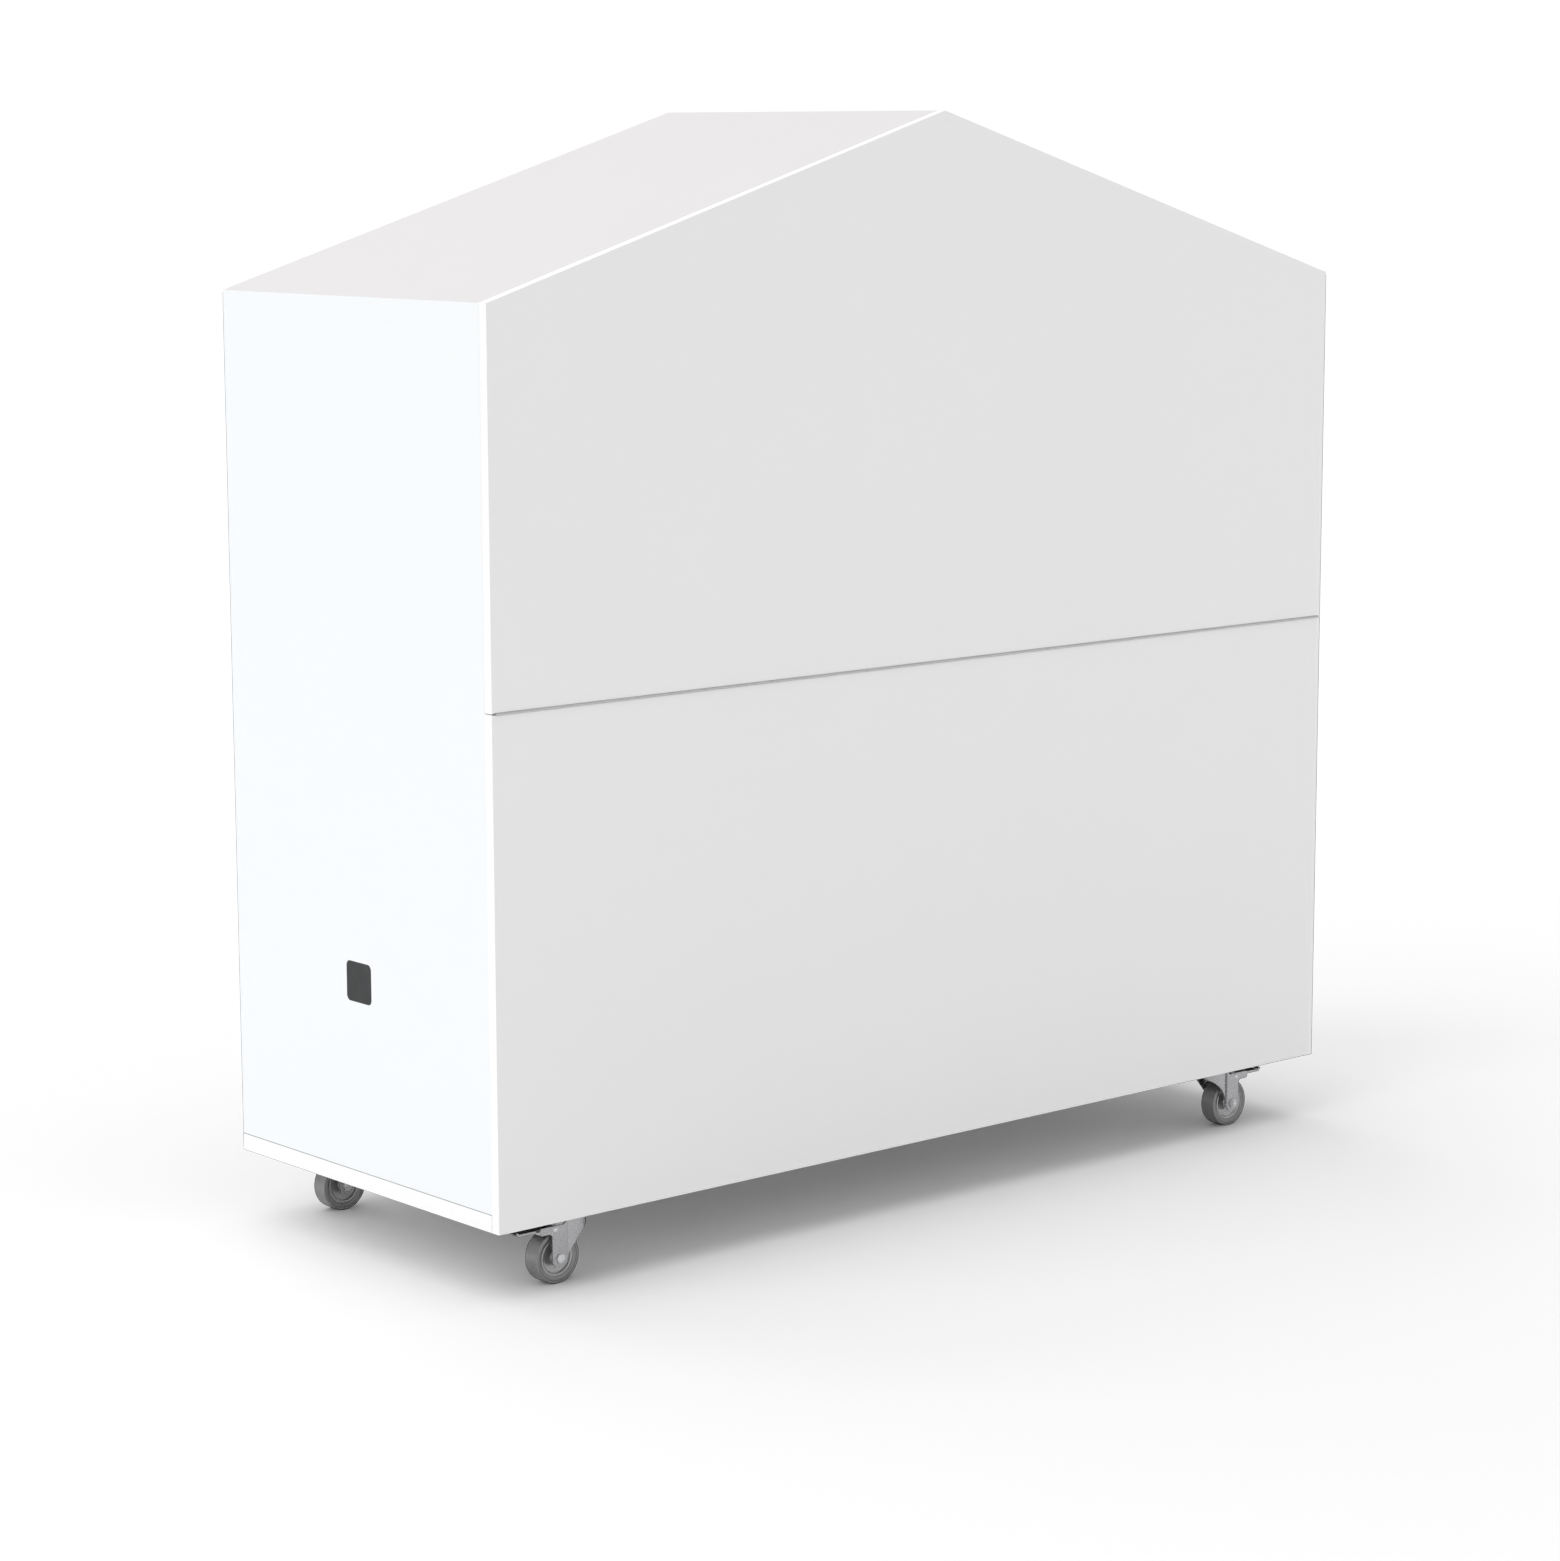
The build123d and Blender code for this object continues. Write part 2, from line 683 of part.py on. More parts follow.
for place, side, castor_y in castor_sites:
    with BuildPart() as castor_plate:
        with BuildSketch(Plane.XY.offset(castor_plate_low_z)):
            with Locations((kingpin_xs[side], castor_y)):
                RectangleRounded(castor_plate_length, castor_plate_width, badge_corner)
                with GridLocations(castor_hole_length, castor_hole_width, 2, 2):
                    Circle(castor_hole_r, mode=Mode.SUBTRACT)
        extrude(amount=castor_plate_thickness)
        with BuildSketch(Plane.XY.offset(raceway_low_z)):
            with Locations((kingpin_xs[side], castor_y)):
                Circle(raceway_r)
        extrude(amount=castor_plate_low_z - raceway_low_z)
        with BuildSketch(Plane.XY.offset(crown_top_z + raceway_lip_gap)):
            with Locations((kingpin_xs[side], castor_y)):
                Circle(raceway_r)
                Circle(raceway_r - raceway_wall, mode=Mode.SUBTRACT)
        extrude(amount=raceway_low_z - crown_top_z - raceway_lip_gap)
        with Locations((kingpin_xs[side], castor_y, underside_z)):
            Cylinder(
                kingpin_r + seat_gap,
                castor_height,
                align=(Align.CENTER, Align.CENTER, Align.MAX),
                mode=Mode.SUBTRACT,
            )
            Cylinder(
                kingpin_head_r + seat_gap,
                kingpin_head,
                align=(Align.CENTER, Align.CENTER, Align.MAX),
                mode=Mode.SUBTRACT,
            )
    save(castor_plate, f"castor_plate_{place}")

kingpin_spots = [(kingpin_xs[side], y) for _, side, y in castor_sites]
kingpin_low_z = crown_low_z - axle_running - kingpin_foot
with BuildPart() as kingpins:
    with BuildSketch(Plane.XY.offset(kingpin_low_z)):
        with Locations(*kingpin_spots):
            Circle(kingpin_foot_r)
    extrude(amount=kingpin_foot)
    with BuildSketch(Plane.XY.offset(kingpin_low_z)):
        with Locations(*kingpin_spots):
            Circle(kingpin_r)
    extrude(amount=underside_z - kingpin_low_z)
    with BuildSketch(Plane.XY.offset(underside_z - kingpin_head)):
        with Locations(*kingpin_spots):
            Circle(kingpin_head_r)
    extrude(amount=kingpin_head)
save(kingpins, "kingpins")

with BuildPart() as ball_races:
    for x, y in kingpin_spots:
        with Locations((x, y, crown_top_z + ball_gap + ball_r)):
            with PolarLocations(ball_ring_r, ball_count):
                Sphere(ball_r)
save(ball_races, "ball_races")

# ---------------------------------------------------------------- castors: moving pieces
fork_inner = wheel_width / 2 + fork_side_gap
fork_outer = fork_inner + fork_wall
arm_top_z = crown_top_z - arm_drop
arm_low_z = arm_top_z - arm_depth
arm_end = swivel_offset + arm_reach
fold_u = sqrt(crown_r**2 - fork_outer**2)  # where the round skirt meets the flat legs
leg_half = swivel_offset - fold_u
pivot_u = swivel_offset + pedal_pivot_past_axle
pivot_z = (arm_top_z + arm_low_z) / 2


def castor_plan(side, castor_y, z):
    """Level plane at height z on the kingpin axis, local x pointing from the kingpin to the wheel."""
    return Plane(origin=(kingpin_xs[side], castor_y, z), x_dir=(side, 0, 0), z_dir=(0, 0, 1))


def castor_side(side, castor_y, across=0.0):
    """Upright plane through the kingpin axis, local x towards the wheel, local y up."""
    origin = (kingpin_xs[side], castor_y - side * across, 0)
    return Plane(origin=origin, x_dir=(side, 0, 0), z_dir=(0, -side, 0))


def fork_side_profile():
    """Side outline of the fork: crown, arm, rounded leg and the skirt's curved lower edge."""
    leg_back = swivel_offset + leg_half
    leg_low_z = wheel_r - leg_half
    nose_z = crown_low_z - nose_lip
    run = fold_u + crown_r
    rise = nose_z - wheel_r
    lift = skirt_rise / sqrt(run**2 + rise**2)
    skirt_mid = ((fold_u - crown_r) / 2 + rise * lift, (wheel_r + nose_z) / 2 + run * lift)
    with BuildLine() as outline:
        Polyline(
            (-crown_r, nose_z),
            (-crown_r, crown_top_z),
            (fold_u, crown_top_z),
            (fold_u + arm_slope, arm_top_z),
            (arm_end, arm_top_z),
            (arm_end, arm_low_z),
            (leg_back + inner_corner_r, arm_low_z),
            (leg_back, arm_low_z - inner_corner_r),
            (leg_back, wheel_r),
        )
        ThreePointArc((leg_back, wheel_r), (swivel_offset, leg_low_z), (fold_u, wheel_r))
        ThreePointArc((fold_u, wheel_r), skirt_mid, (-crown_r, nose_z))
    return outline.line


def castor_fork(side, castor_y, braked):
    """Pressed fork: round skirt and crown at the kingpin, flat legs, arms over the wheel."""
    low_z = wheel_r - leg_half
    with BuildPart() as fork:
        with BuildSketch(castor_plan(side, castor_y, low_z)):
            Circle(crown_r)
            with Locations((arm_end / 2, 0)):
                Rectangle(arm_end, 2 * fork_outer)
        extrude(amount=crown_top_z - low_z)
        with BuildSketch(castor_plan(side, castor_y, low_z)):
            Circle(crown_r - fork_wall)
            with Locations((arm_end, 0)):
                Rectangle(2 * arm_end, 2 * fork_inner)
        extrude(amount=crown_low_z - low_z, mode=Mode.SUBTRACT)
        with BuildSketch(castor_side(side, castor_y)):
            with BuildLine():
                add(fork_side_profile())
            make_face()
        extrude(amount=2 * crown_r, both=True, mode=Mode.INTERSECT)
        with Locations((kingpin_xs[side], castor_y, crown_low_z)):
            Cylinder(kingpin_r + axle_running, castor_height, mode=Mode.SUBTRACT)
        with BuildSketch(castor_side(side, castor_y)):
            with Locations((swivel_offset, wheel_r)):
                Circle(axle_r + seat_gap)
            if braked:
                with Locations((pivot_u, pivot_z)):
                    Circle(pedal_pivot_r + seat_gap)
        extrude(amount=2 * crown_r, both=True, mode=Mode.SUBTRACT)
    return fork


def castor_axle(side, castor_y):
    """Hexagon bolt through the fork and its nut, as two solids."""
    bolt_end = fork_outer + nut_height + bolt_end_proud
    with BuildPart() as axle:
        with BuildSketch(castor_side(side, castor_y, -fork_outer)):
            with Locations((swivel_offset, wheel_r)):
                RegularPolygon(hex_flats / 2, 6, major_radius=False)
        extrude(amount=-bolt_head)
        with BuildSketch(castor_side(side, castor_y, -fork_outer)):
            with Locations((swivel_offset, wheel_r)):
                Circle(axle_r)
        extrude(amount=fork_outer + bolt_end)
        with BuildSketch(castor_side(side, castor_y, fork_outer)):
            with Locations((swivel_offset, wheel_r)):
                RegularPolygon(hex_flats / 2, 6, major_radius=False)
                Circle(axle_r + seat_gap, mode=Mode.SUBTRACT)
        extrude(amount=nut_height)
    return axle


def wheel_section(side, castor_y):
    """Half-section plane of the wheel: local x along the axle, local y outwards from it."""
    return Plane(
        origin=(kingpin_xs[side] + side * swivel_offset, castor_y, wheel_r),
        x_dir=(0, 1, 0),
        z_dir=(1, 0, 0),
    )


def wheel_centre(side, castor_y):
    """Wheel body turning on the axle: hub, dished web and rim."""
    plane = wheel_section(side, castor_y)
    rim_r = wheel_r - tyre_depth
    hub_half = fork_inner - hinge_running
    web_half = wheel_width * web_share
    rim_half = wheel_width * rim_share
    with BuildPart() as wheel:
        with BuildSketch(plane):
            half = [
                (hub_half, axle_r + axle_running),
                (hub_half, hub_nose_r),
                ((hub_half + web_half) / 2, hub_r),
                (web_half, hub_root_r),
                (web_half, rim_r - rim_slope),
                (rim_half, rim_r - rim_lip),
                (rim_half, rim_r - seat_gap),
            ]
            mirrored = [(-x, r) for x, r in reversed(half)]
            Polygon(*half, *mirrored, align=None)
        revolve(axis=Axis(plane.origin, (0, 1, 0)))
    return wheel


def wheel_tyre(side, castor_y):
    """Tyre moulded round the rim, with rounded shoulders."""
    plane = wheel_section(side, castor_y)
    with BuildPart() as tyre:
        with BuildSketch(plane) as section:
            with Locations((0, wheel_r - tyre_depth / 2)):
                Rectangle(wheel_width, tyre_depth)
            fillet(section.vertices().group_by(Axis.Y)[-1], tyre_shoulder)
        revolve(axis=Axis(plane.origin, (0, 1, 0)))
    return tyre


def above_tyre(u):
    """Height of the brake shoe's working face at distance u from the kingpin."""
    return wheel_r + sqrt((wheel_r + shoe_gap) ** 2 - (u - swivel_offset) ** 2)


def brake_pedal(side, castor_y):
    """Pressed tray on the pivot pin, with a shoe that comes down on the tyre."""
    half = pedal_width / 2
    eye_r = pedal_pivot_r + pedal_eye_wall
    tray_low_z = pivot_z - pedal_wall / 2
    rim_z = pivot_z + eye_r
    tray_near = pivot_u + eye_r
    tray_far = pedal_reach - pedal_wall
    shoe_us = (pivot_u + shoe_near, pivot_u + (shoe_near + shoe_far) / 2, pivot_u + shoe_far)
    shoe_face = [(u, above_tyre(u)) for u in shoe_us]
    shoe_top_z = tray_low_z + pedal_wall / 2
    with BuildPart() as pedal:
        with BuildSketch(castor_side(side, castor_y)):
            with Locations((pivot_u, pivot_z)):
                Circle(eye_r)
            Polygon(
                (pivot_u, rim_z),
                (pedal_reach, rim_z),
                (pedal_reach - pedal_nose, tray_low_z),
                (tray_near + pedal_wall, tray_low_z),
                (pivot_u, pivot_z - eye_r),
                align=None,
            )
        extrude(amount=half, both=True)
        with BuildSketch(castor_side(side, castor_y)):
            with Locations(((tray_near + tray_far) / 2, tray_low_z + pedal_wall + eye_r)):
                Rectangle(tray_far - tray_near, 2 * eye_r)
        extrude(amount=half - pedal_wall, both=True, mode=Mode.SUBTRACT)
        with BuildSketch(castor_side(side, castor_y)):
            with BuildLine():
                ThreePointArc(*shoe_face)
                Polyline(
                    shoe_face[-1],
                    (shoe_face[-1][0], shoe_top_z),
                    (shoe_face[0][0], shoe_top_z),
                    shoe_face[0],
                )
            make_face()
        extrude(amount=half - 2 * pedal_wall, both=True)
        with BuildSketch(castor_side(side, castor_y)):
            with Locations((pivot_u, pivot_z)):
                Circle(pedal_pivot_r + axle_running)
        extrude(amount=pedal_width, both=True, mode=Mode.SUBTRACT)
    return pedal


def pedal_pin(side, castor_y):
    """Rivet that the pedal turns on, with a head outside each fork plate."""
    with BuildPart() as pin:
        with BuildSketch(castor_side(side, castor_y)):
            with Locations((pivot_u, pivot_z)):
                Circle(pedal_pivot_r)
        extrude(amount=fork_outer + rivet_head, both=True)
        for across in (-1, 1):
            with BuildSketch(castor_side(side, castor_y, across * fork_outer)):
                with Locations((pivot_u, pivot_z)):
                    Circle(rivet_head_r)
            extrude(amount=across * rivet_head)
    return pin


for place, side, castor_y in castor_sites:
    braked = place.startswith("front")
    save(castor_fork(side, castor_y, braked), f"fork_{place}")
    save(castor_axle(side, castor_y), f"axle_{place}")
    save(wheel_centre(side, castor_y), f"wheel_centre_{place}")
    save(wheel_tyre(side, castor_y), f"tyre_{place}")
    if braked:
        save(brake_pedal(side, castor_y), f"pedal_{place}")
        save(pedal_pin(side, castor_y), f"pedal_pin_{place}")
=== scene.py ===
"""House-shaped counter cabinet on castors: its surfaces, fittings and finishes.

Laid out as an add-on and run as a script. Each operator makes one kind of piece around the
loaded frame. Metres, +Z up, the closed front faces -Y.
"""

import json
import math

import bmesh
import bpy
import numpy as np
from mathutils import Matrix, Vector


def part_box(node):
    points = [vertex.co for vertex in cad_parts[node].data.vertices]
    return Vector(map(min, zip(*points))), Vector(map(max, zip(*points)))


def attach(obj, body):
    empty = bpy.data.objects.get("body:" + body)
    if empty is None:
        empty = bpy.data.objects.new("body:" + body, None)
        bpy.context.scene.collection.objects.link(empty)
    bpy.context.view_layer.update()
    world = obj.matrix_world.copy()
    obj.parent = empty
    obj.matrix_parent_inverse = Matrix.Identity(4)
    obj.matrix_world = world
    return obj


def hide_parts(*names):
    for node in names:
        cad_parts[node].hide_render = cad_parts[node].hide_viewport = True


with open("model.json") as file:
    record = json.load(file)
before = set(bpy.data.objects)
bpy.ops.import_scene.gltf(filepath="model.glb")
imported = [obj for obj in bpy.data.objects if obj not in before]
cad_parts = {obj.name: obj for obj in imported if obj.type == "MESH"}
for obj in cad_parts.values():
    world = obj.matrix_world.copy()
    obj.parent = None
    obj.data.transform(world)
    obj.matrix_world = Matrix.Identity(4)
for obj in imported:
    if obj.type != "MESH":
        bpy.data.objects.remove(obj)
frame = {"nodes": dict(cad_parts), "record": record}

bl_info = {
    "name": "Counter cabinet",
    "version": (1, 0, 0),
    "blender": (4, 5, 0),
    "location": "View3D > Sidebar > Cabinet",
    "description": "Makes the boards, fittings and castors of a house-shaped counter cabinet",
    "category": "Object",
}

BODY_OF = {node: body for body, nodes in frame["record"]["behaviour"]["bodies"].items() for node in nodes}
JOINTS = {joint["name"]: joint for joint in frame["record"]["behaviour"]["joints"]}
PLACES = ("front_left", "front_right", "rear_left", "rear_right")
FRONT_PLACES = PLACES[:2]
LIGHTS = ("side", "rear", "over")
FRONT_BOARDS = ("front_flap", "lower_front_panel")
CASE_BOARDS = {
    "end_wall_left": "wall laminate",
    "end_wall_right": "wall laminate",
    "roof_panel_left": "roof laminate",
    "roof_panel_right": "roof laminate",
    "base_board": "wall laminate",
}
INNER_BOARDS = ("worktop", "centre_divider", "rear_rail", "shelf_left", "shelf_right")
BRACKETS = ("foot_brackets", "worktop_brackets", "eave_brackets")
ROUND_HEAD_SCREWS = (
    "bracket_screws",
    "bolt_guide_screws",
    "bolt_keeper_screws",
    "hinge_screws_lower",
    "hinge_screws_upper",
)
CARRIED_PARTS = {
    "hinge_leaf_lower": "hinge steel",
    "hinge_leaf_upper": "hinge steel",
    "hinge_pin": "hinge steel",
    "ball_races": "bright steel",
    "shelf_pins": "bright steel",
}

# how near counts as the same: welding points, telling planes apart, finding a face's own points
WELD = 1e-6
ON_PLANE = 1e-5
NEAR = 1e-4
ROUGHLY = 1e-3
SHARP_TURN = math.radians(30.0)
FLAT_TURN = math.radians(0.3)
FULL_PROFILE = 1.2  # a head is at least this many times as wide as its shank
LEG_THICKNESS = 0.003  # reach inwards from a fork leg's outer face that moves with it
KNOB_RADIUS = 0.003
RIVET_SHANK, RIVET_HEAD, RIVET_EDGE = 0.0025, 0.0012, 0.0006
FOOT_EDGE, FOOT_ROUND, FOOT_THICKNESS, CROWN_THICKNESS = 0.0008, 0.0020, 0.0030, 0.0012
# the brake pedal's tray, measured from its pivot, and the slopes at its ends
TRAY_WALL, TRAY_START, TRAY_NOSE = 0.002, 0.010, 0.006
SLOPE_IN, SLOPE_OUT, PAD_LEAD, RIM_FOOT = 0.003, 0.004, 0.006, 0.001


# ------------------------------------------------------------------------------ settings
def length(name, description, default):
    """A length in metres, shown in the panel."""
    return bpy.props.FloatProperty(
        name=name, description=description, default=default, min=0.0, unit="LENGTH", subtype="DISTANCE"
    )


def colour(name, description, default):
    """A linear colour, shown in the panel."""
    return bpy.props.FloatVectorProperty(
        name=name, description=description, default=default, size=3, min=0.0, max=1.0, subtype="COLOR"
    )


def strength(name, description, default):
    """A light's strength, shown in the panel."""
    return bpy.props.FloatProperty(name=name, description=description, default=default, min=0.0)


def heading(name, default):
    """A direction from the cabinet towards a light, shown in the panel."""
    return bpy.props.FloatVectorProperty(
        name=name, description="From the cabinet towards the light", default=default, subtype="DIRECTION"
    )


def softness(name, degrees):
    """The angle that a light fills, shown in the panel."""
    return bpy.props.FloatProperty(
        name=name, description="Angle that the light fills", default=math.radians(degrees), subtype="ANGLE"
    )


class BoardSettings(bpy.types.PropertyGroup):
    """Edges and colours of the laminated boards."""

    edge_radius: length("Edge radius", "Rounding of the free board edges", 0.0003)
    # Separate tones for the front, the walls and the roof, each set so that its face comes out as bright as
    # it should under these lights: the walls' blue tint is a painted sky reflection, and the roof's grey is
    # partly its own and partly painted shade.
    front_colour: colour("Front", "Laminate of the two front boards", (0.92, 0.92, 0.92))
    wall_colour: colour("Walls", "Laminate of the end walls", (0.925, 0.947, 0.965))
    roof_colour: colour("Roof", "Laminate of the roof boards", (0.672, 0.655, 0.657))
    inner_colour: colour("Inside", "Laminate of the worktop and shelves", (0.86, 0.86, 0.85))
    banding_colour: colour("Edge band", "Edge banding of the boards", (0.98, 0.98, 0.98))
    timber_colour: colour("Timber", "Painted ridge beam", (0.84, 0.83, 0.80))
    # Joint: the boards' core colour, darkened to paint the shade in the joint round the base board
    joint_colour: colour("Joint", "Open joint round the base board", (0.38, 0.39, 0.40))
    joint_width: length("Joint width", "Easing of the base board beside the front", 0.0020)
    seam_end: length("Seam end", "How far the front boards close the seam beyond the hinge", 0.0011)
    seam_end_run: length("Seam end run", "Length of that closing at each end", 0.0055)


class FittingSettings(bpy.types.PropertyGroup):
    """Colours and edges of the metal fittings."""

    edge_radius: length("Edge radius", "Rounding of pressed and cut steel", 0.0004)
    zinc_colour: colour("Zinc", "Zinc-plated pressed steel", (0.44, 0.44, 0.45))
    bright_colour: colour("Bright steel", "Bolts, nuts and rivets", (0.72, 0.72, 0.73))
    hinge_colour: colour("Hinge", "Satin stainless steel of the hinge", (0.62, 0.62, 0.62))
    powder_colour: colour("Powder coat", "White powder coat of the brackets", (0.83, 0.83, 0.83))
    # Pedal pad: near-black painted shade in the brake pedal's tray, under the cabinet
    pad_colour: colour("Pedal pad", "Black coat in the brake pedal's tray", (0.012, 0.012, 0.012))
    plate_colour: colour("Plate", "Blank dark plate", (0.018, 0.019, 0.021))


class CastorSettings(bpy.types.PropertyGroup):
    """Shape and colours of the castor wheels."""

    tyre_colour: colour("Tyre", "Grey rubber of the tyres", (0.27, 0.27, 0.273))
    core_colour: colour("Wheel centre", "Moulded plastic of the wheel centres", (0.46, 0.46, 0.465))
    shoulder: length("Tyre shoulder", "Rounding of the tyre's shoulders", 0.0020)
    groove: length("Tyre groove", "Groove where the tyre meets the rim", 0.0003)
    side_line: length("Side line", "Depth of the line round the tyre's side", 0.0006)
    leg_step: length("Leg step", "How far the fork's legs stand out from its round skirt", 0.0025)
    arm_rounding: length("Arm rounding", "Rounding of the fork arm's lower end", 0.0045)
    pedal_rim: length("Pedal rim", "Height of the pedal's rim above its tray", 0.0008)
    segments: bpy.props.IntProperty(
        name="Segments", description="Steps round each turned piece", default=96, min=24
    )


class StageSettings(bpy.types.PropertyGroup):
    """Floor, light and camera."""

    floor_size: length("Floor", "Side of the floor sheet", 60.0)
    floor_colour: colour("Floor", "Pale floor", (0.80, 0.80, 0.80))
    sky: strength("Sky", "Light of the white surround", 0.60)
    backdrop: strength("Backdrop", "Brightness seen behind", 1.015)
    side_power: strength("Side light", "Strength of the light from the left", 0.89)
    side_heading: heading("Side light direction", (-0.70, 0.0, 0.70))
    side_softness: softness("Side light angle", 50)
    rear_power: strength("Rear light", "Strength of the light from behind", 0.56)
    rear_heading: heading("Rear light direction", (0.0, 0.70, 0.70))
    rear_softness: softness("Rear light angle", 50)
    over_power: strength("Overhead light", "Strength of the light from above", 0.93)
    over_heading: heading("Overhead light direction", (0.0, 0.0, 1.0))
    over_softness: softness("Overhead light angle", 60)
    lens: bpy.props.FloatProperty(name="Lens", description="Focal length in millimetres", default=92.446)
    sensor: bpy.props.FloatProperty(name="Sensor", description="Sensor width in millimetres", default=36.0)
    from_corner: bpy.props.FloatVectorProperty(
        name="Camera place",
        description="From the case's front left foot",
        default=(-3.1670, -4.2637, 1.4859),
        unit="LENGTH",
    )
    turn: bpy.props.FloatProperty(
        name="Turn", description="Heading from +Y towards +X", default=math.radians(40.759), subtype="ANGLE"
    )
    tilt: bpy.props.FloatProperty(
        name="Tilt", description="Downward tilt", default=math.radians(9.196), subtype="ANGLE"
    )
    roll: bpy.props.FloatProperty(
        name="Roll", description="Roll about the view", default=math.radians(-0.162), subtype="ANGLE"
    )


# ------------------------------------------------------------------------------ node helpers
def link(tree, source, target):
    """Joins two sockets of a node tree."""
    tree.links.new(source, target)


def add_socket(tree, name, kind, way="INPUT", default=None):
    """Adds a named socket to a node group."""
    socket = tree.interface.new_socket(name=name, in_out=way, socket_type="NodeSocket" + kind)
    if default is not None:
        socket.default_value = default
    return socket


def noise(tree, vector, scale, detail=3.0, roughness=0.5):
    """Noise texture read at a vector, as a value from 0 to 1."""
    node = tree.nodes.new("ShaderNodeTexNoise")
    node.inputs["Detail"].default_value = detail
    node.inputs["Roughness"].default_value = roughness
    link(tree, vector, node.inputs["Vector"])
    if hasattr(scale, "is_output"):
        link(tree, scale, node.inputs["Scale"])
    else:
        node.inputs["Scale"].default_value = scale
    return node.outputs["Fac"]


def between(tree, value, low, high, out_low, out_high):
    """Maps a value from one range to another, clamped."""
    node = tree.nodes.new("ShaderNodeMapRange")
    link(tree, value, node.inputs["Value"])
    limits = {"From Min": low, "From Max": high, "To Min": out_low, "To Max": out_high}
    for key, limit in limits.items():
        if hasattr(limit, "is_output"):
            link(tree, limit, node.inputs[key])
        else:
            node.inputs[key].default_value = limit
    return node.outputs["Result"]


def math_node(tree, operation, first, second):
    """One arithmetic step on two sockets or numbers."""
    node = tree.nodes.new("ShaderNodeMath")
    node.operation = operation
    for index, value in enumerate((first, second)):
        if hasattr(value, "is_output"):
            link(tree, value, node.inputs[index])
        else:
            node.inputs[index].default_value = value
    return node.outputs[0]


def tint(tree, base, other, mask):
    """Colour that goes from base to other as the mask goes from 0 to 1."""
    node = tree.nodes.new("ShaderNodeMix")
    node.data_type = "RGBA"
    link(tree, mask, node.inputs["Factor"])
    for key, value in (("A", base), ("B", other)):
        socket = next(s for s in node.inputs if s.name == key and s.type == "RGBA")
        if hasattr(value, "is_output"):
            link(tree, value, socket)
        else:
            socket.default_value = value
    return next(s for s in node.outputs if s.type == "RGBA")


def start_group(name, inputs, outputs):
    """Shader node group with its input and output nodes, and the object coordinates."""
    tree = bpy.data.node_groups.new(name, "ShaderNodeTree")
    for socket_name, kind, default in inputs:
        add_socket(tree, socket_name, kind, default=default)
    for socket_name, kind in outputs:
        add_socket(tree, socket_name, kind, way="OUTPUT")
    given = tree.nodes.new("NodeGroupInput")
    result = tree.nodes.new("NodeGroupOutput")
    where = tree.nodes.new("ShaderNodeTexCoord").outputs["Object"]
    return tree, given.outputs, result.inputs, where


SURFACE_OUTPUTS = (("Colour", "Color"), ("Roughness", "Float"), ("Height", "Float"))


def board_surface_group():
    """Laminate: a very fine pearl texture, faint mottling and handling marks in the gloss."""
    inputs = (
        ("Colour", "Color", (1, 1, 1, 1)),
        ("Mottle", "Float", 0.02),
        ("Gloss spread", "Float", 0.06),
        ("Roughness", "Float", 0.4),
        ("Pearl scale", "Float", 750.0),
    )
    tree, given, result, where = start_group("Laminate surface", inputs, SURFACE_OUTPUTS)
    broad = noise(tree, where, 2.3, 4.0)
    pearl = noise(tree, where, given["Pearl scale"], 2.0)
    shade = between(tree, broad, 0.3, 0.7, 0.0, given["Mottle"])
    link(tree, tint(tree, given["Colour"], (0.45, 0.45, 0.44, 1), shade), result["Colour"])
    wipes = between(tree, noise(tree, where, 9.0, 5.0, 0.6), 0.35, 0.7, 0.0, given["Gloss spread"])
    link(tree, math_node(tree, "ADD", given["Roughness"], wipes), result["Roughness"])
    link(tree, pearl, result["Height"])
    return tree


def plated_surface_group():
    """Zinc plate on pressed steel: soft spangle, drawing marks and dulled patches."""
    inputs = (
        ("Colour", "Color", (0.6, 0.6, 0.6, 1)),
        ("Dull colour", "Color", (0.35, 0.35, 0.36, 1)),
        ("Dulling", "Float", 0.35),
        ("Roughness", "Float", 0.32),
        ("Spangle scale", "Float", 260.0),
    )
    tree, given, result, where = start_group("Plated surface", inputs, SURFACE_OUTPUTS)
    cells = tree.nodes.new("ShaderNodeTexVoronoi")
    link(tree, where, cells.inputs["Vector"])
    link(tree, given["Spangle scale"], cells.inputs["Scale"])
    spangle = between(tree, cells.outputs["Distance"], 0.0, 0.9, 0.0, 1.0)
    patches = between(tree, noise(tree, where, 70.0, 5.0, 0.6), 0.35, 0.75, 0.0, given["Dulling"])
    link(tree, tint(tree, given["Colour"], given["Dull colour"], patches), result["Colour"])
    spread = math_node(tree, "MULTIPLY", spangle, 0.08)
    rough = math_node(tree, "ADD", given["Roughness"], spread)
    link(tree, math_node(tree, "ADD", rough, math_node(tree, "MULTIPLY", patches, 0.3)), result["Roughness"])
    fine = noise(tree, where, 1400.0, 2.0)
    link(tree, math_node(tree, "ADD", spangle, fine), result["Height"])
    return tree


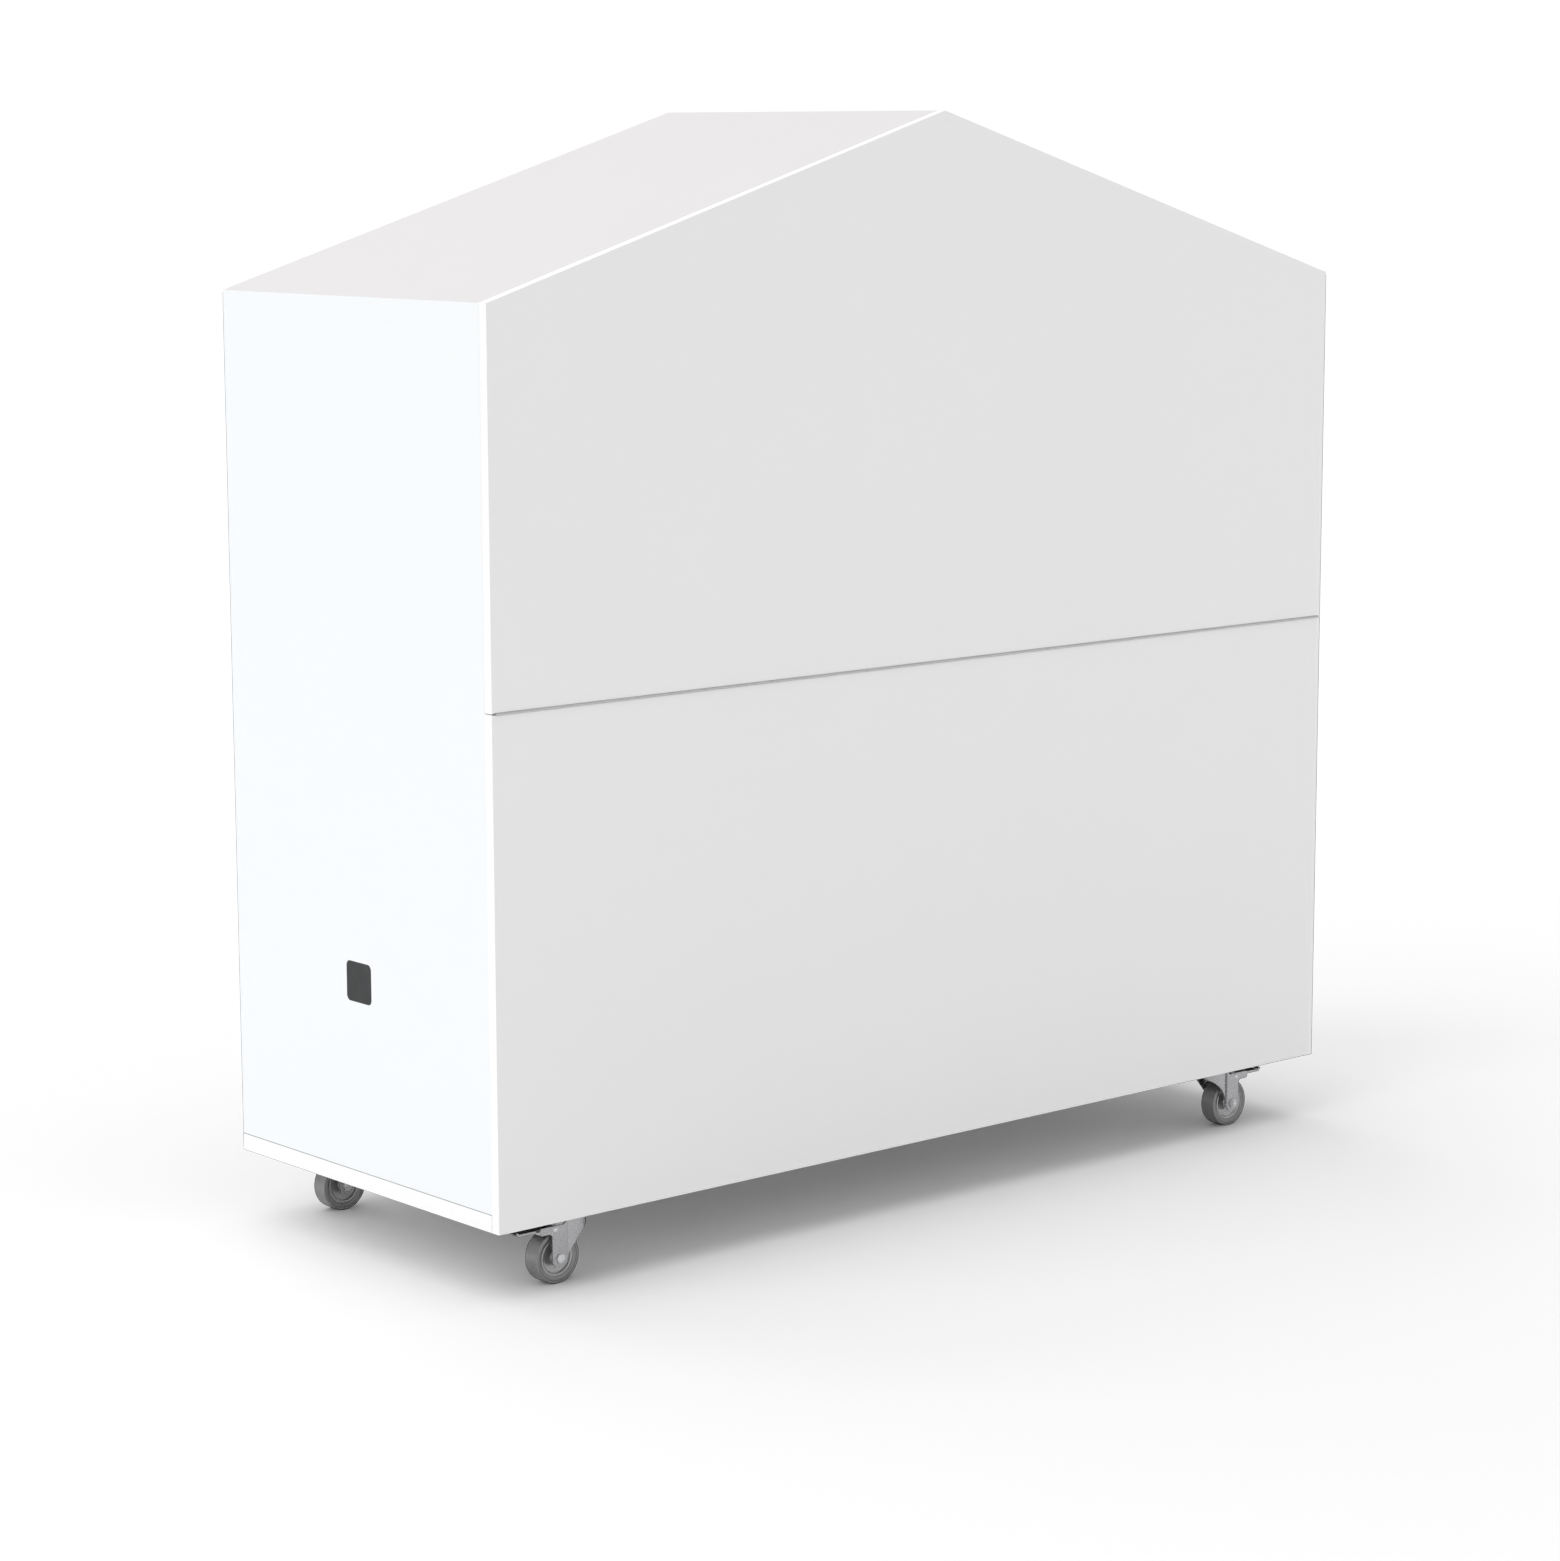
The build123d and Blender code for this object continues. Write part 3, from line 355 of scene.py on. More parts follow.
def moulded_surface_group():
    """Moulded plastic, rubber and powder coat: fine grain, flow marks and dust in random patches."""
    inputs = (
        ("Colour", "Color", (0.2, 0.2, 0.2, 1)),
        ("Dust colour", "Color", (0.45, 0.44, 0.42, 1)),
        ("Dust", "Float", 0.12),
        ("Roughness", "Float", 0.5),
        ("Grain scale", "Float", 1600.0),
    )
    tree, given, result, where = start_group("Moulded surface", inputs, SURFACE_OUTPUTS)
    flow = between(tree, noise(tree, where, 45.0, 4.0), 0.4, 0.75, 0.0, given["Dust"])
    link(tree, tint(tree, given["Colour"], given["Dust colour"], flow), result["Colour"])
    link(tree, math_node(tree, "ADD", given["Roughness"], flow), result["Roughness"])
    link(tree, noise(tree, where, given["Grain scale"], 2.0), result["Height"])
    return tree


GROUP_MAKERS = {
    "Laminate surface": board_surface_group,
    "Plated surface": plated_surface_group,
    "Moulded surface": moulded_surface_group,
}


def surface_group(name):
    """The shared group of that name, built the first time that it is asked for."""
    return bpy.data.node_groups.get(name) or GROUP_MAKERS[name]()


# ------------------------------------------------------------------------------ finishes
METAL = {"Metallic": 1.0}
LOW_GLOSS = {"Specular IOR Level": 0.35}
FINISHES = {
    # name: surface group, setting that holds the colour, values of the group, bump depth, shader values
    # front, wall and roof laminates differ only in tone: the walls' blue tint paints the sky's reflection,
    # the roof's grey is partly painted shade
    "front laminate": ("Laminate", "boards.front", {"Mottle": 0.012, "Roughness": 0.42}, 12e-6, LOW_GLOSS),
    "wall laminate": ("Laminate", "boards.wall", {"Mottle": 0.012, "Roughness": 0.42}, 12e-6, LOW_GLOSS),
    "roof laminate": ("Laminate", "boards.roof", {"Mottle": 0.012, "Roughness": 0.42}, 12e-6, LOW_GLOSS),
    "inner laminate": ("Laminate", "boards.inner", {"Mottle": 0.012, "Roughness": 0.38}, 12e-6, LOW_GLOSS),
    # a thin plastic band, a little glossier and whiter than the boards
    "edge banding": (
        "Laminate", "boards.banding", {"Mottle": 0.01, "Roughness": 0.34, "Pearl scale": 1300.0}, 8e-6,
        {"Specular IOR Level": 0.4},
    ),
    # a grey for the boards' core in the eased joint round the base board, made dark enough to paint the
    # joint's shade as well
    "open joint": (
        "Laminate", "boards.joint", {"Mottle": 0.1, "Roughness": 0.8, "Pearl scale": 900.0}, 40e-6,
        {"Specular IOR Level": 0.2},
    ),
    # white paint on planed timber, with the grain just showing through
    "painted timber": (
        "Laminate", "boards.timber", {"Mottle": 0.08, "Roughness": 0.5, "Pearl scale": 220.0}, 60e-6, {},
    ),
    "pale floor": ("Laminate", "stage.floor", {"Mottle": 0.0, "Roughness": 0.8}, 0.0, {}),
    "zinc plate": ("Plated", "fittings.zinc", {"Dulling": 0.08, "Roughness": 0.22}, 1e-6, METAL),
    # bolts, nuts, rivets and balls
    "bright steel": (
        "Plated", "fittings.bright", {"Dulling": 0.2, "Roughness": 0.22, "Spangle scale": 500.0}, 6e-6, METAL,
    ),
    "hinge steel": ("Plated", "fittings.hinge", {"Dulling": 0.15, "Roughness": 0.36}, 6e-6, METAL),
    "powder coat": (
        "Moulded", "fittings.powder", {"Dust": 0.05, "Roughness": 0.42, "Grain scale": 700.0}, 30e-6, {},
    ),
    "dark plate": (
        "Moulded", "fittings.plate", {"Dust": 0.03, "Roughness": 0.48, "Grain scale": 1100.0}, 10e-6, {},
    ),
    # near-black in the tray of a brake pedal: painted shade of the gap under the cabinet
    "pedal pad": (
        "Moulded", "fittings.pad", {"Dust": 0.02, "Roughness": 0.7, "Grain scale": 500.0}, 50e-6,
        {"Specular IOR Level": 0.15},
    ),
    # non-marking grey rubber with a polished, slightly metallic skin
    "tyre rubber": ("Moulded", "castors.tyre", {"Dust": 0.05, "Roughness": 0.3}, 6e-6, {"Metallic": 0.6}),
    # polished silver-grey nylon
    "wheel plastic": (
        "Moulded", "castors.core", {"Dust": 0.04, "Roughness": 0.22, "Grain scale": 900.0}, 5e-6,
        {"Metallic": 0.7, "Coat Weight": 0.3},
    ),
}


def finish(name):
    """The material of that name: its surface group feeding the material's own shader."""
    existing = bpy.data.materials.get(name)
    if existing:
        return existing
    group, setting, values, bump_depth, shader_values = FINISHES[name]
    family, colour_name = setting.split(".")
    rgb = getattr(getattr(bpy.context.scene, "cabinet_" + family), colour_name + "_colour")
    material = bpy.data.materials.new(name)
    material.use_nodes = True
    tree = material.node_tree
    shader = next(node for node in tree.nodes if node.type == "BSDF_PRINCIPLED")
    surface = tree.nodes.new("ShaderNodeGroup")
    surface.node_tree = surface_group(group + " surface")
    surface.inputs["Colour"].default_value = (*rgb, 1.0)
    for key, value in values.items():
        surface.inputs[key].default_value = value
    for key, value in shader_values.items():
        shader.inputs[key].default_value = value
    bump = tree.nodes.new("ShaderNodeBump")
    bump.inputs["Strength"].default_value = 1.0
    bump.inputs["Distance"].default_value = bump_depth
    link(tree, surface.outputs["Colour"], shader.inputs["Base Color"])
    link(tree, surface.outputs["Roughness"], shader.inputs["Roughness"])
    link(tree, surface.outputs["Height"], bump.inputs["Height"])
    link(tree, bump.outputs["Normal"], shader.inputs["Normal"])
    return material


# ------------------------------------------------------------------------------ mesh helpers
def keep_piece(name, mesh, node, materials):
    """Adds a finished mesh as a piece that rides on its node's body and stands for the node."""
    piece = bpy.data.objects.new(name, mesh)
    bpy.context.scene.collection.objects.link(piece)
    if not mesh.materials:
        for material in materials:
            mesh.materials.append(material)
    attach(piece, BODY_OF[node])
    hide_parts(node)
    return piece


def joined_mesh(node):
    """A CAD node's surface as a new mesh with its loose triangles joined and flats merged."""
    bm = bmesh.new()
    bm.from_mesh(frame["nodes"][node].data)
    bmesh.ops.remove_doubles(bm, verts=bm.verts, dist=WELD)
    bmesh.ops.dissolve_limit(bm, angle_limit=FLAT_TURN, verts=bm.verts, edges=bm.edges)
    bmesh.ops.dissolve_degenerate(bm, dist=WELD, edges=bm.edges)
    return bm


def long_sharp_edges(bm, shortest):
    """Edges that turn sharply and are at least the shortest length."""
    return [
        edge
        for edge in bm.edges
        if len(edge.link_faces) == 2
        and edge.calc_length() >= shortest
        and edge.calc_face_angle(0.0) > SHARP_TURN
    ]


def round_edges(bm, edges, radius, segments=3):
    """Rounds the given edges."""
    bmesh.ops.bevel(
        bm, geom=edges, offset=radius, offset_type="OFFSET", segments=segments, profile=0.5,
        affect="EDGES", clamp_overlap=True,
    )
    bm.normal_update()


def softened(node, radius, shortest, keep=lambda edge: True, segments=3):
    """The node's surface with its chosen sharp edges rounded."""
    bm = joined_mesh(node)
    round_edges(bm, [edge for edge in long_sharp_edges(bm, shortest) if keep(edge)], radius, segments)
    return bm


def cut_across(bm, x):
    """Adds edges where an upright plane at x crosses the surface."""
    geometry = [*bm.verts, *bm.edges, *bm.faces]
    bmesh.ops.bisect_plane(bm, geom=geometry, dist=1e-7, plane_co=(x, 0, 0), plane_no=(1, 0, 0))


def to_mesh(bm, name, smooth_below=40.0):
    """Turns a bmesh into a mesh, smooth except across sharp turns."""
    mesh = bpy.data.meshes.new(name)
    bm.to_mesh(mesh)
    bm.free()
    for polygon in mesh.polygons:
        polygon.use_smooth = True
    mesh.set_sharp_from_angle(angle=math.radians(smooth_below))
    return mesh


def flatten_flats(piece):
    """Lets the large flat faces rule the shading beside their rounded edges."""
    modifier = piece.modifiers.new("flat faces", "WEIGHTED_NORMAL")
    modifier.keep_sharp = True
    modifier.weight = 100


def turned(rings, segments, looped=False):
    """A bmesh turned about local Z. A ring is (height, radius) or (height, flat radius, 'hex')."""
    bm = bmesh.new()
    loops = []
    for height, radius, *shape in rings:
        loop = []
        for step in range(segments):
            angle = math.tau * step / segments
            reach = radius
            if shape:
                sixth = math.tau / 6
                reach = radius / math.cos(angle % sixth - sixth / 2)
                if shape[0] == "hex_cut":
                    reach = min(reach, radius * 1.10)
            loop.append(bm.verts.new((reach * math.cos(angle), reach * math.sin(angle), height)))
        loops.append(loop)
    pairs = list(zip(loops, loops[1:]))
    if looped:
        pairs.append((loops[-1], loops[0]))
    for low, high in pairs:
        for step in range(segments):
            after = (step + 1) % segments
            bm.faces.new((low[step], low[after], high[after], high[step]))
    if not looped:
        bm.faces.new(reversed(loops[0]))
        bm.faces.new(loops[-1])
    bmesh.ops.recalc_face_normals(bm, faces=bm.faces)
    return bm


def place_along(bm, point, direction):
    """Moves a turned bmesh so that its local Z runs along a direction through a point."""
    turn = Vector((0, 0, 1)).rotation_difference(Vector(direction)).to_matrix().to_4x4()
    bm.transform(Matrix.Translation(Vector(point)) @ turn)
    return bm


def merge(parts):
    """Several bmeshes as one."""
    whole = bmesh.new()
    for part in parts:
        mesh = bpy.data.meshes.new("part")
        part.to_mesh(mesh)
        part.free()
        whole.from_mesh(mesh)
        bpy.data.meshes.remove(mesh)
    return whole


def islands(node):
    """Vertex arrays of the separate solids of a CAD node, in a steady order."""
    bm = bmesh.new()
    bm.from_mesh(frame["nodes"][node].data)
    bmesh.ops.remove_doubles(bm, verts=bm.verts, dist=WELD)
    seen = set()
    found = []
    for vert in bm.verts:
        if vert in seen:
            continue
        stack, island = [vert], []
        seen.add(vert)
        while stack:
            current = stack.pop()
            island.append(current.co[:])
            for edge in current.link_edges:
                other = edge.other_vert(current)
                if other not in seen:
                    seen.add(other)
                    stack.append(other)
        found.append(np.array(island))
    bm.free()
    return sorted(found, key=lambda points: tuple(np.round(points.mean(0), 4)))


class Fastener:
    """Seat, direction and sizes of one headed fastener, read from its solid."""

    def __init__(self, points):
        middle = (points.min(0) + points.max(0)) / 2
        spread = np.linalg.svd(points - points.mean(0), full_matrices=False)[2]
        axis = spread[0]
        along = (points - middle) @ axis
        away = np.linalg.norm(points - middle - np.outer(along, axis), axis=1)
        if away[along > along.mean()].max() < away[along < along.mean()].max():
            axis = -axis
            along = -along
        self.head_radius = away.max()
        self.radius = away[along < along.min() + NEAR].max()
        wide = along[away > self.radius * FULL_PROFILE]
        self.seat = middle + axis * wide.min()
        self.axis = axis
        self.head_height = along.max() - wide.min()
        self.reach = wide.min() - along.min()


def round_screw_head(screw):
    """Pan-headed screw with a six-sided recess, standing on the origin."""
    r, h = screw.head_radius, screw.head_height
    socket = r * 0.38
    rings = [
        (-screw.reach, screw.radius * 0.35),
        (-screw.reach + screw.radius, screw.radius * 0.98),
        (0.0, screw.radius * 0.98),
        (0.0, r * 0.97),
        (h * 0.35, r),
        (h * 0.75, r * 0.86),
        (h * 0.97, r * 0.62),
        (h, socket * 1.12),
        (h * 0.97, socket, "hex"),
        (h * 0.35, socket * 0.92, "hex"),
    ]
    return turned(rings, 24)


def hex_screw_head(screw):
    """Hexagon-headed wood screw with a chamfered head, standing on the origin."""
    flat = screw.head_radius * math.cos(math.pi / 6)
    h = screw.head_height
    rings = [
        (-screw.reach, screw.radius * 0.3),
        (-screw.reach + screw.radius * 1.5, screw.radius * 0.98),
        (0.0, screw.radius * 0.98),
        (0.0, flat * 0.97),
        (h * 0.08, flat, "hex"),
        (h * 0.80, flat, "hex"),
        (h * 0.93, flat * 0.985, "hex_cut"),
        (h, flat * 0.90),
    ]
    return turned(rings, 48)


# ------------------------------------------------------------------------------ fastener tree
def fastener_tree():
    """Geometry nodes that stand one fastener on each point, facing along its own direction."""
    name = "Fasteners on seats"
    if name in bpy.data.node_groups:
        return bpy.data.node_groups[name]
    tree = bpy.data.node_groups.new(name, "GeometryNodeTree")
    add_socket(tree, "Seats", "Geometry")
    add_socket(tree, "Fastener", "Object")
    add_socket(tree, "Size", "Float", default=1.0)
    add_socket(tree, "Turn seed", "Int", default=7)
    add_socket(tree, "Finish", "Material")
    add_socket(tree, "Geometry", "Geometry", way="OUTPUT")
    given = tree.nodes.new("NodeGroupInput").outputs
    result = tree.nodes.new("NodeGroupOutput").inputs
    facing = tree.nodes.new("GeometryNodeInputNamedAttribute")
    facing.data_type = "FLOAT_VECTOR"
    facing.inputs["Name"].default_value = "facing"
    align = tree.nodes.new("FunctionNodeAlignRotationToVector")
    align.axis = "Z"
    turn = tree.nodes.new("FunctionNodeRandomValue")
    turn.data_type = "FLOAT"
    angle_low, angle_high = (s for s in turn.inputs if s.type == "VALUE" and s.name in ("Min", "Max"))
    angle_low.default_value = 0.0
    angle_high.default_value = math.tau
    spin = tree.nodes.new("FunctionNodeAxisAngleToRotation")
    both = tree.nodes.new("FunctionNodeRotateRotation")
    both.rotation_space = "LOCAL"
    model = tree.nodes.new("GeometryNodeObjectInfo")
    stand = tree.nodes.new("GeometryNodeInstanceOnPoints")
    real = tree.nodes.new("GeometryNodeRealizeInstances")
    paint = tree.nodes.new("GeometryNodeSetMaterial")
    link(tree, facing.outputs["Attribute"], align.inputs["Vector"])
    link(tree, given["Turn seed"], turn.inputs["Seed"])
    link(tree, next(s for s in turn.outputs if s.type == "VALUE"), spin.inputs["Angle"])
    link(tree, align.outputs["Rotation"], both.inputs["Rotation"])
    link(tree, spin.outputs["Rotation"], both.inputs["Rotate By"])
    link(tree, given["Fastener"], model.inputs["Object"])
    link(tree, given["Seats"], stand.inputs["Points"])
    link(tree, model.outputs["Geometry"], stand.inputs["Instance"])
    link(tree, both.outputs["Rotation"], stand.inputs["Rotation"])
    link(tree, given["Size"], stand.inputs["Scale"])
    link(tree, stand.outputs["Instances"], real.inputs["Geometry"])
    link(tree, real.outputs["Geometry"], paint.inputs["Geometry"])
    link(tree, given["Finish"], paint.inputs["Material"])
    link(tree, paint.outputs["Geometry"], result["Geometry"])
    return tree


def set_inputs(modifier, values):
    """Sets the inputs of a geometry nodes modifier by their sockets' identifiers."""
    for item in modifier.node_group.interface.items_tree:
        if item.item_type == "SOCKET" and item.in_out == "INPUT" and item.name in values:
            modifier[item.identifier] = values[item.name]


def fastener_piece(node, head_maker, material):
    """Replaces a node of like fasteners with detailed ones on the same seats."""
    screws = [Fastener(points) for points in islands(node)]
    pattern_mesh = to_mesh(head_maker(screws[0]), node + "_pattern", 35.0)
    pattern = bpy.data.objects.new(node + "_pattern", pattern_mesh)
    seats = bpy.data.meshes.new(node + "_seats")
    seats.from_pydata([screw.seat for screw in screws], [], [])
    facing = seats.attributes.new("facing", "FLOAT_VECTOR", "POINT")
    for index, screw in enumerate(screws):
        facing.data[index].vector = screw.axis
    carrier = bpy.data.objects.new(node + "_seats", seats)
    bpy.context.scene.collection.objects.link(carrier)
    bpy.context.scene.collection.objects.link(pattern)
    modifier = carrier.modifiers.new("fasteners", "NODES")
    modifier.node_group = fastener_tree()
    set_inputs(modifier, {"Fastener": pattern, "Size": 1.0, "Turn seed": 7, "Finish": material})
    graph = bpy.context.evaluated_depsgraph_get()
    mesh = bpy.data.meshes.new_from_object(carrier.evaluated_get(graph))
    mesh.name = node
    carrier.modifiers.clear()
    bpy.data.objects.remove(carrier)
    bpy.data.objects.remove(pattern)
    if not mesh.polygons:
        raise RuntimeError("no fasteners were made for " + node)
    return keep_piece(node + "_detail", mesh, node, [material])


# ------------------------------------------------------------------------------ operators
class PieceOperator:
    """Shared behaviour: an operator that makes its pieces in the scene."""

    bl_options = {"REGISTER", "UNDO"}

    def execute(self, context):
        self.make(context.scene)
        return {"FINISHED"}


def plain(face):
    """Neither banded nor in a joint."""
    return False


def board_piece(
    node, face_material, keep=lambda edge: True, banded=plain, in_shaded_joint=plain, ease=None, segments=3
):
    """A laminated board with rounded edges, its edge faces banded and its joint faces in the dark core colour
    that paints the joint's shade.
    """
    settings = bpy.context.scene.cabinet_boards
    bm = softened(node, settings.edge_radius, 0.05, keep, segments)
    if ease:
        ease(bm)
        bm.normal_update()
    for face in bm.faces:
        face.material_index = 2 if in_shaded_joint(face) else 1 if banded(face) else 0
    finishes = [face_material, finish("edge banding"), finish("open joint")]
    piece = keep_piece(node + "_board", to_mesh(bm, node), node, finishes)
    flatten_flats(piece)
    return piece


class CABINET_OT_front_boards(PieceOperator, bpy.types.Operator):
    """Makes the folding upper front and the fixed lower front"""

    bl_idname = "cabinet.front_boards"
    bl_label = "Front boards"

    def make(self, scene):
        face = finish("front laminate")
        for node in FRONT_BOARDS:
            low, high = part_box(node)
            outer_y = low[1]
            half = (high[1] - low[1]) / 2

            def at_front(edge, outer_y=outer_y, half=half):
                return all(vert.co.y < outer_y + half for vert in edge.verts)

            def on_edge(piece_face):
                return abs(piece_face.normal.y) < 0.5

            def close_seam_ends(bm, node=node, low=low, high=high):
                self.close_seam_ends(bm, scene.cabinet_boards, node == "front_flap", low, high)

            board_piece(node, face, at_front, on_edge, ease=close_seam_ends)

    def close_seam_ends(self, bm, boards, above, low, high):
        """Brings the board's seam edge nearer to the other board beyond the ends of the hinge."""
        seam_z, way = (low[2], -1) if above else (high[2], 1)
        for x in (low[0] + boards.seam_end_run, high[0] - boards.seam_end_run):
            cut_across(bm, x)
        for vert in bm.verts:
            at_end = min(vert.co.x - low[0], high[0] - vert.co.x) < boards.seam_end_run / 2
            if at_end and abs(vert.co.z - seam_z) < ROUGHLY:
                vert.co.z += way * boards.seam_end


class CABINET_OT_case_boards(PieceOperator, bpy.types.Operator):
    """Makes the end walls, the roof boards and the base board"""

    bl_idname = "cabinet.case_boards"
    bl_label = "Case boards"

    def make(self, scene):
        (_, front_y, underside_z), (half_width, back_y, foot_z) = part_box("base_board")
        joint_width = scene.cabinet_boards.joint_width

        def free_edge(edge):
            return all(abs(vert.co.y - back_y) < ROUGHLY for vert in edge.verts)

        def banded(face):
            return face.normal.y > 0.5 or face.calc_center_median().z < foot_z - NEAR

        # faces of the eased joint, coloured dark to paint the joint's shade
        def in_shaded_joint(face):
            middle = face.calc_center_median()
            outside = abs(middle.x) > half_width - joint_width
            sloping = 0.2 < abs(face.normal.x) < 0.95
            beside_front = middle.z < foot_z and middle.y < front_y + joint_width
            return outside and sloping and (abs(middle.z - foot_z) < ROUGHLY or beside_front)

        def ease_beside_front(bm):
            upright = [
                edge
                for edge in bm.edges
                if all(abs(vert.co.y - front_y) < ON_PLANE for vert in edge.verts)
                and all(abs(vert.co.x) > half_width - ON_PLANE for vert in edge.verts)
                and edge.calc_length() > (foot_z - underside_z) / 2
            ]
            round_edges(bm, upright, joint_width, segments=1)

        for node, laminate in CASE_BOARDS.items():
            ease = ease_beside_front if node == "base_board" else None
            board_piece(node, finish(laminate), free_edge, banded, in_shaded_joint, ease, segments=1)


class CABINET_OT_inner_boards(PieceOperator, bpy.types.Operator):
    """Makes the worktop, the divider, the shelves, the rear rail and the ridge beam"""

    bl_idname = "cabinet.inner_boards"
    bl_label = "Inner boards"

    def make(self, scene):
        face = finish("inner laminate")
        for node in INNER_BOARDS:
            board_piece(node, face, banded=lambda piece_face: piece_face.normal.y > 0.5)
        node = "ridge_beam"
        mesh = to_mesh(softened(node, scene.cabinet_boards.edge_radius, 0.03), node)
        flatten_flats(keep_piece(node + "_timber", mesh, node, [finish("painted timber")]))


def fitting_piece(node, material, shortest, radius=None):
    """A steel fitting with its cut edges rounded."""
    radius = radius or bpy.context.scene.cabinet_fittings.edge_radius
    bm = softened(node, radius, shortest)
    piece = keep_piece(node + "_steel", to_mesh(bm, node), node, [material])
    flatten_flats(piece)
    return piece


class CABINET_OT_brackets(PieceOperator, bpy.types.Operator):
    """Makes the angle brackets inside the case"""

    bl_idname = "cabinet.brackets"
    bl_label = "Angle brackets"

    def make(self, scene):
        for node in BRACKETS:
            fitting_piece(node, finish("powder coat"), 0.0015)


class CABINET_OT_slide_bolts(PieceOperator, bpy.types.Operator):
    """Makes the slide bolts, their guides and their keepers"""

    bl_idname = "cabinet.slide_bolts"
    bl_label = "Slide bolts"

    def make(self, scene):
        for node in ("bolt_guide_left", "bolt_guide_right", "bolt_keepers"):
            fitting_piece(node, finish("zinc plate"), 0.0015)
        for side, name in ((-1, "left"), (1, "right")):
            self.make_rod(side, name)

    def make_rod(self, side, name):
        """Turned rod with a domed tip, and its turned knob."""
        node = "bolt_rod_" + name
        low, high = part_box(node)
        radius = (high[2] - low[2]) / 2
        reach = high[0] - low[0]
        centre_y = low[1] + radius
        centre_z = (high[2] + low[2]) / 2
        rings = [
            (0.0, radius * 0.9),
            (radius * 0.1, radius),
            (reach - radius * 0.5, radius),
            (reach - radius * 0.2, radius * 0.86),
            (reach, radius * 0.55),
        ]
        start_x = low[0] if side > 0 else high[0]
        rod = place_along(turned(rings, 48), (start_x, centre_y, centre_z), (side, 0, 0))
        knob = KNOB_RADIUS
        knob_length = high[1] - centre_y
        waist = knob * 0.62
        rings = [
            (0.0, waist),
            (knob_length * 0.45, waist),
            (knob_length * 0.52, knob * 0.92),
            (knob_length * 0.90, knob),
            (knob_length * 0.97, knob * 0.85),
            (knob_length, knob * 0.5),
        ]
        points = islands(node)[0]
        far = points[points[:, 1] > high[1] - NEAR]
        knob_x = (far[:, 0].min() + far[:, 0].max()) / 2
        grip = place_along(turned(rings, 32), (knob_x, centre_y, centre_z), (0, 1, 0))
        mesh = to_mesh(merge([rod, grip]), node, 35.0)
        keep_piece(node + "_turned", mesh, node, [finish("bright steel")])


class CABINET_OT_screws(PieceOperator, bpy.types.Operator):
    """Makes every screw, each on its own seat"""

    bl_idname = "cabinet.screws"
    bl_label = "Screws"

    def make(self, scene):
        for node in ROUND_HEAD_SCREWS:
            fastener_piece(node, round_screw_head, finish("bright steel"))
        fastener_piece("castor_screws", hex_screw_head, finish("bright steel"))


class CABINET_OT_blank_plate(PieceOperator, bpy.types.Operator):
    """Makes the blank dark plate let into the left wall"""

    bl_idname = "cabinet.blank_plate"
    bl_label = "Blank plate"

    def make(self, scene):
        fitting_piece("blank_plate", finish("dark plate"), 0.0004, 0.0002)


def axle_line(place):
    """Centre of a castor wheel, on its axle."""
    return Vector(JOINTS["roll_" + place]["pos_m"])


def castor_axes(place):
    """Points on a castor's kingpin and on its axle."""
    return Vector(JOINTS["swivel_" + place]["pos_m"]), axle_line(place)


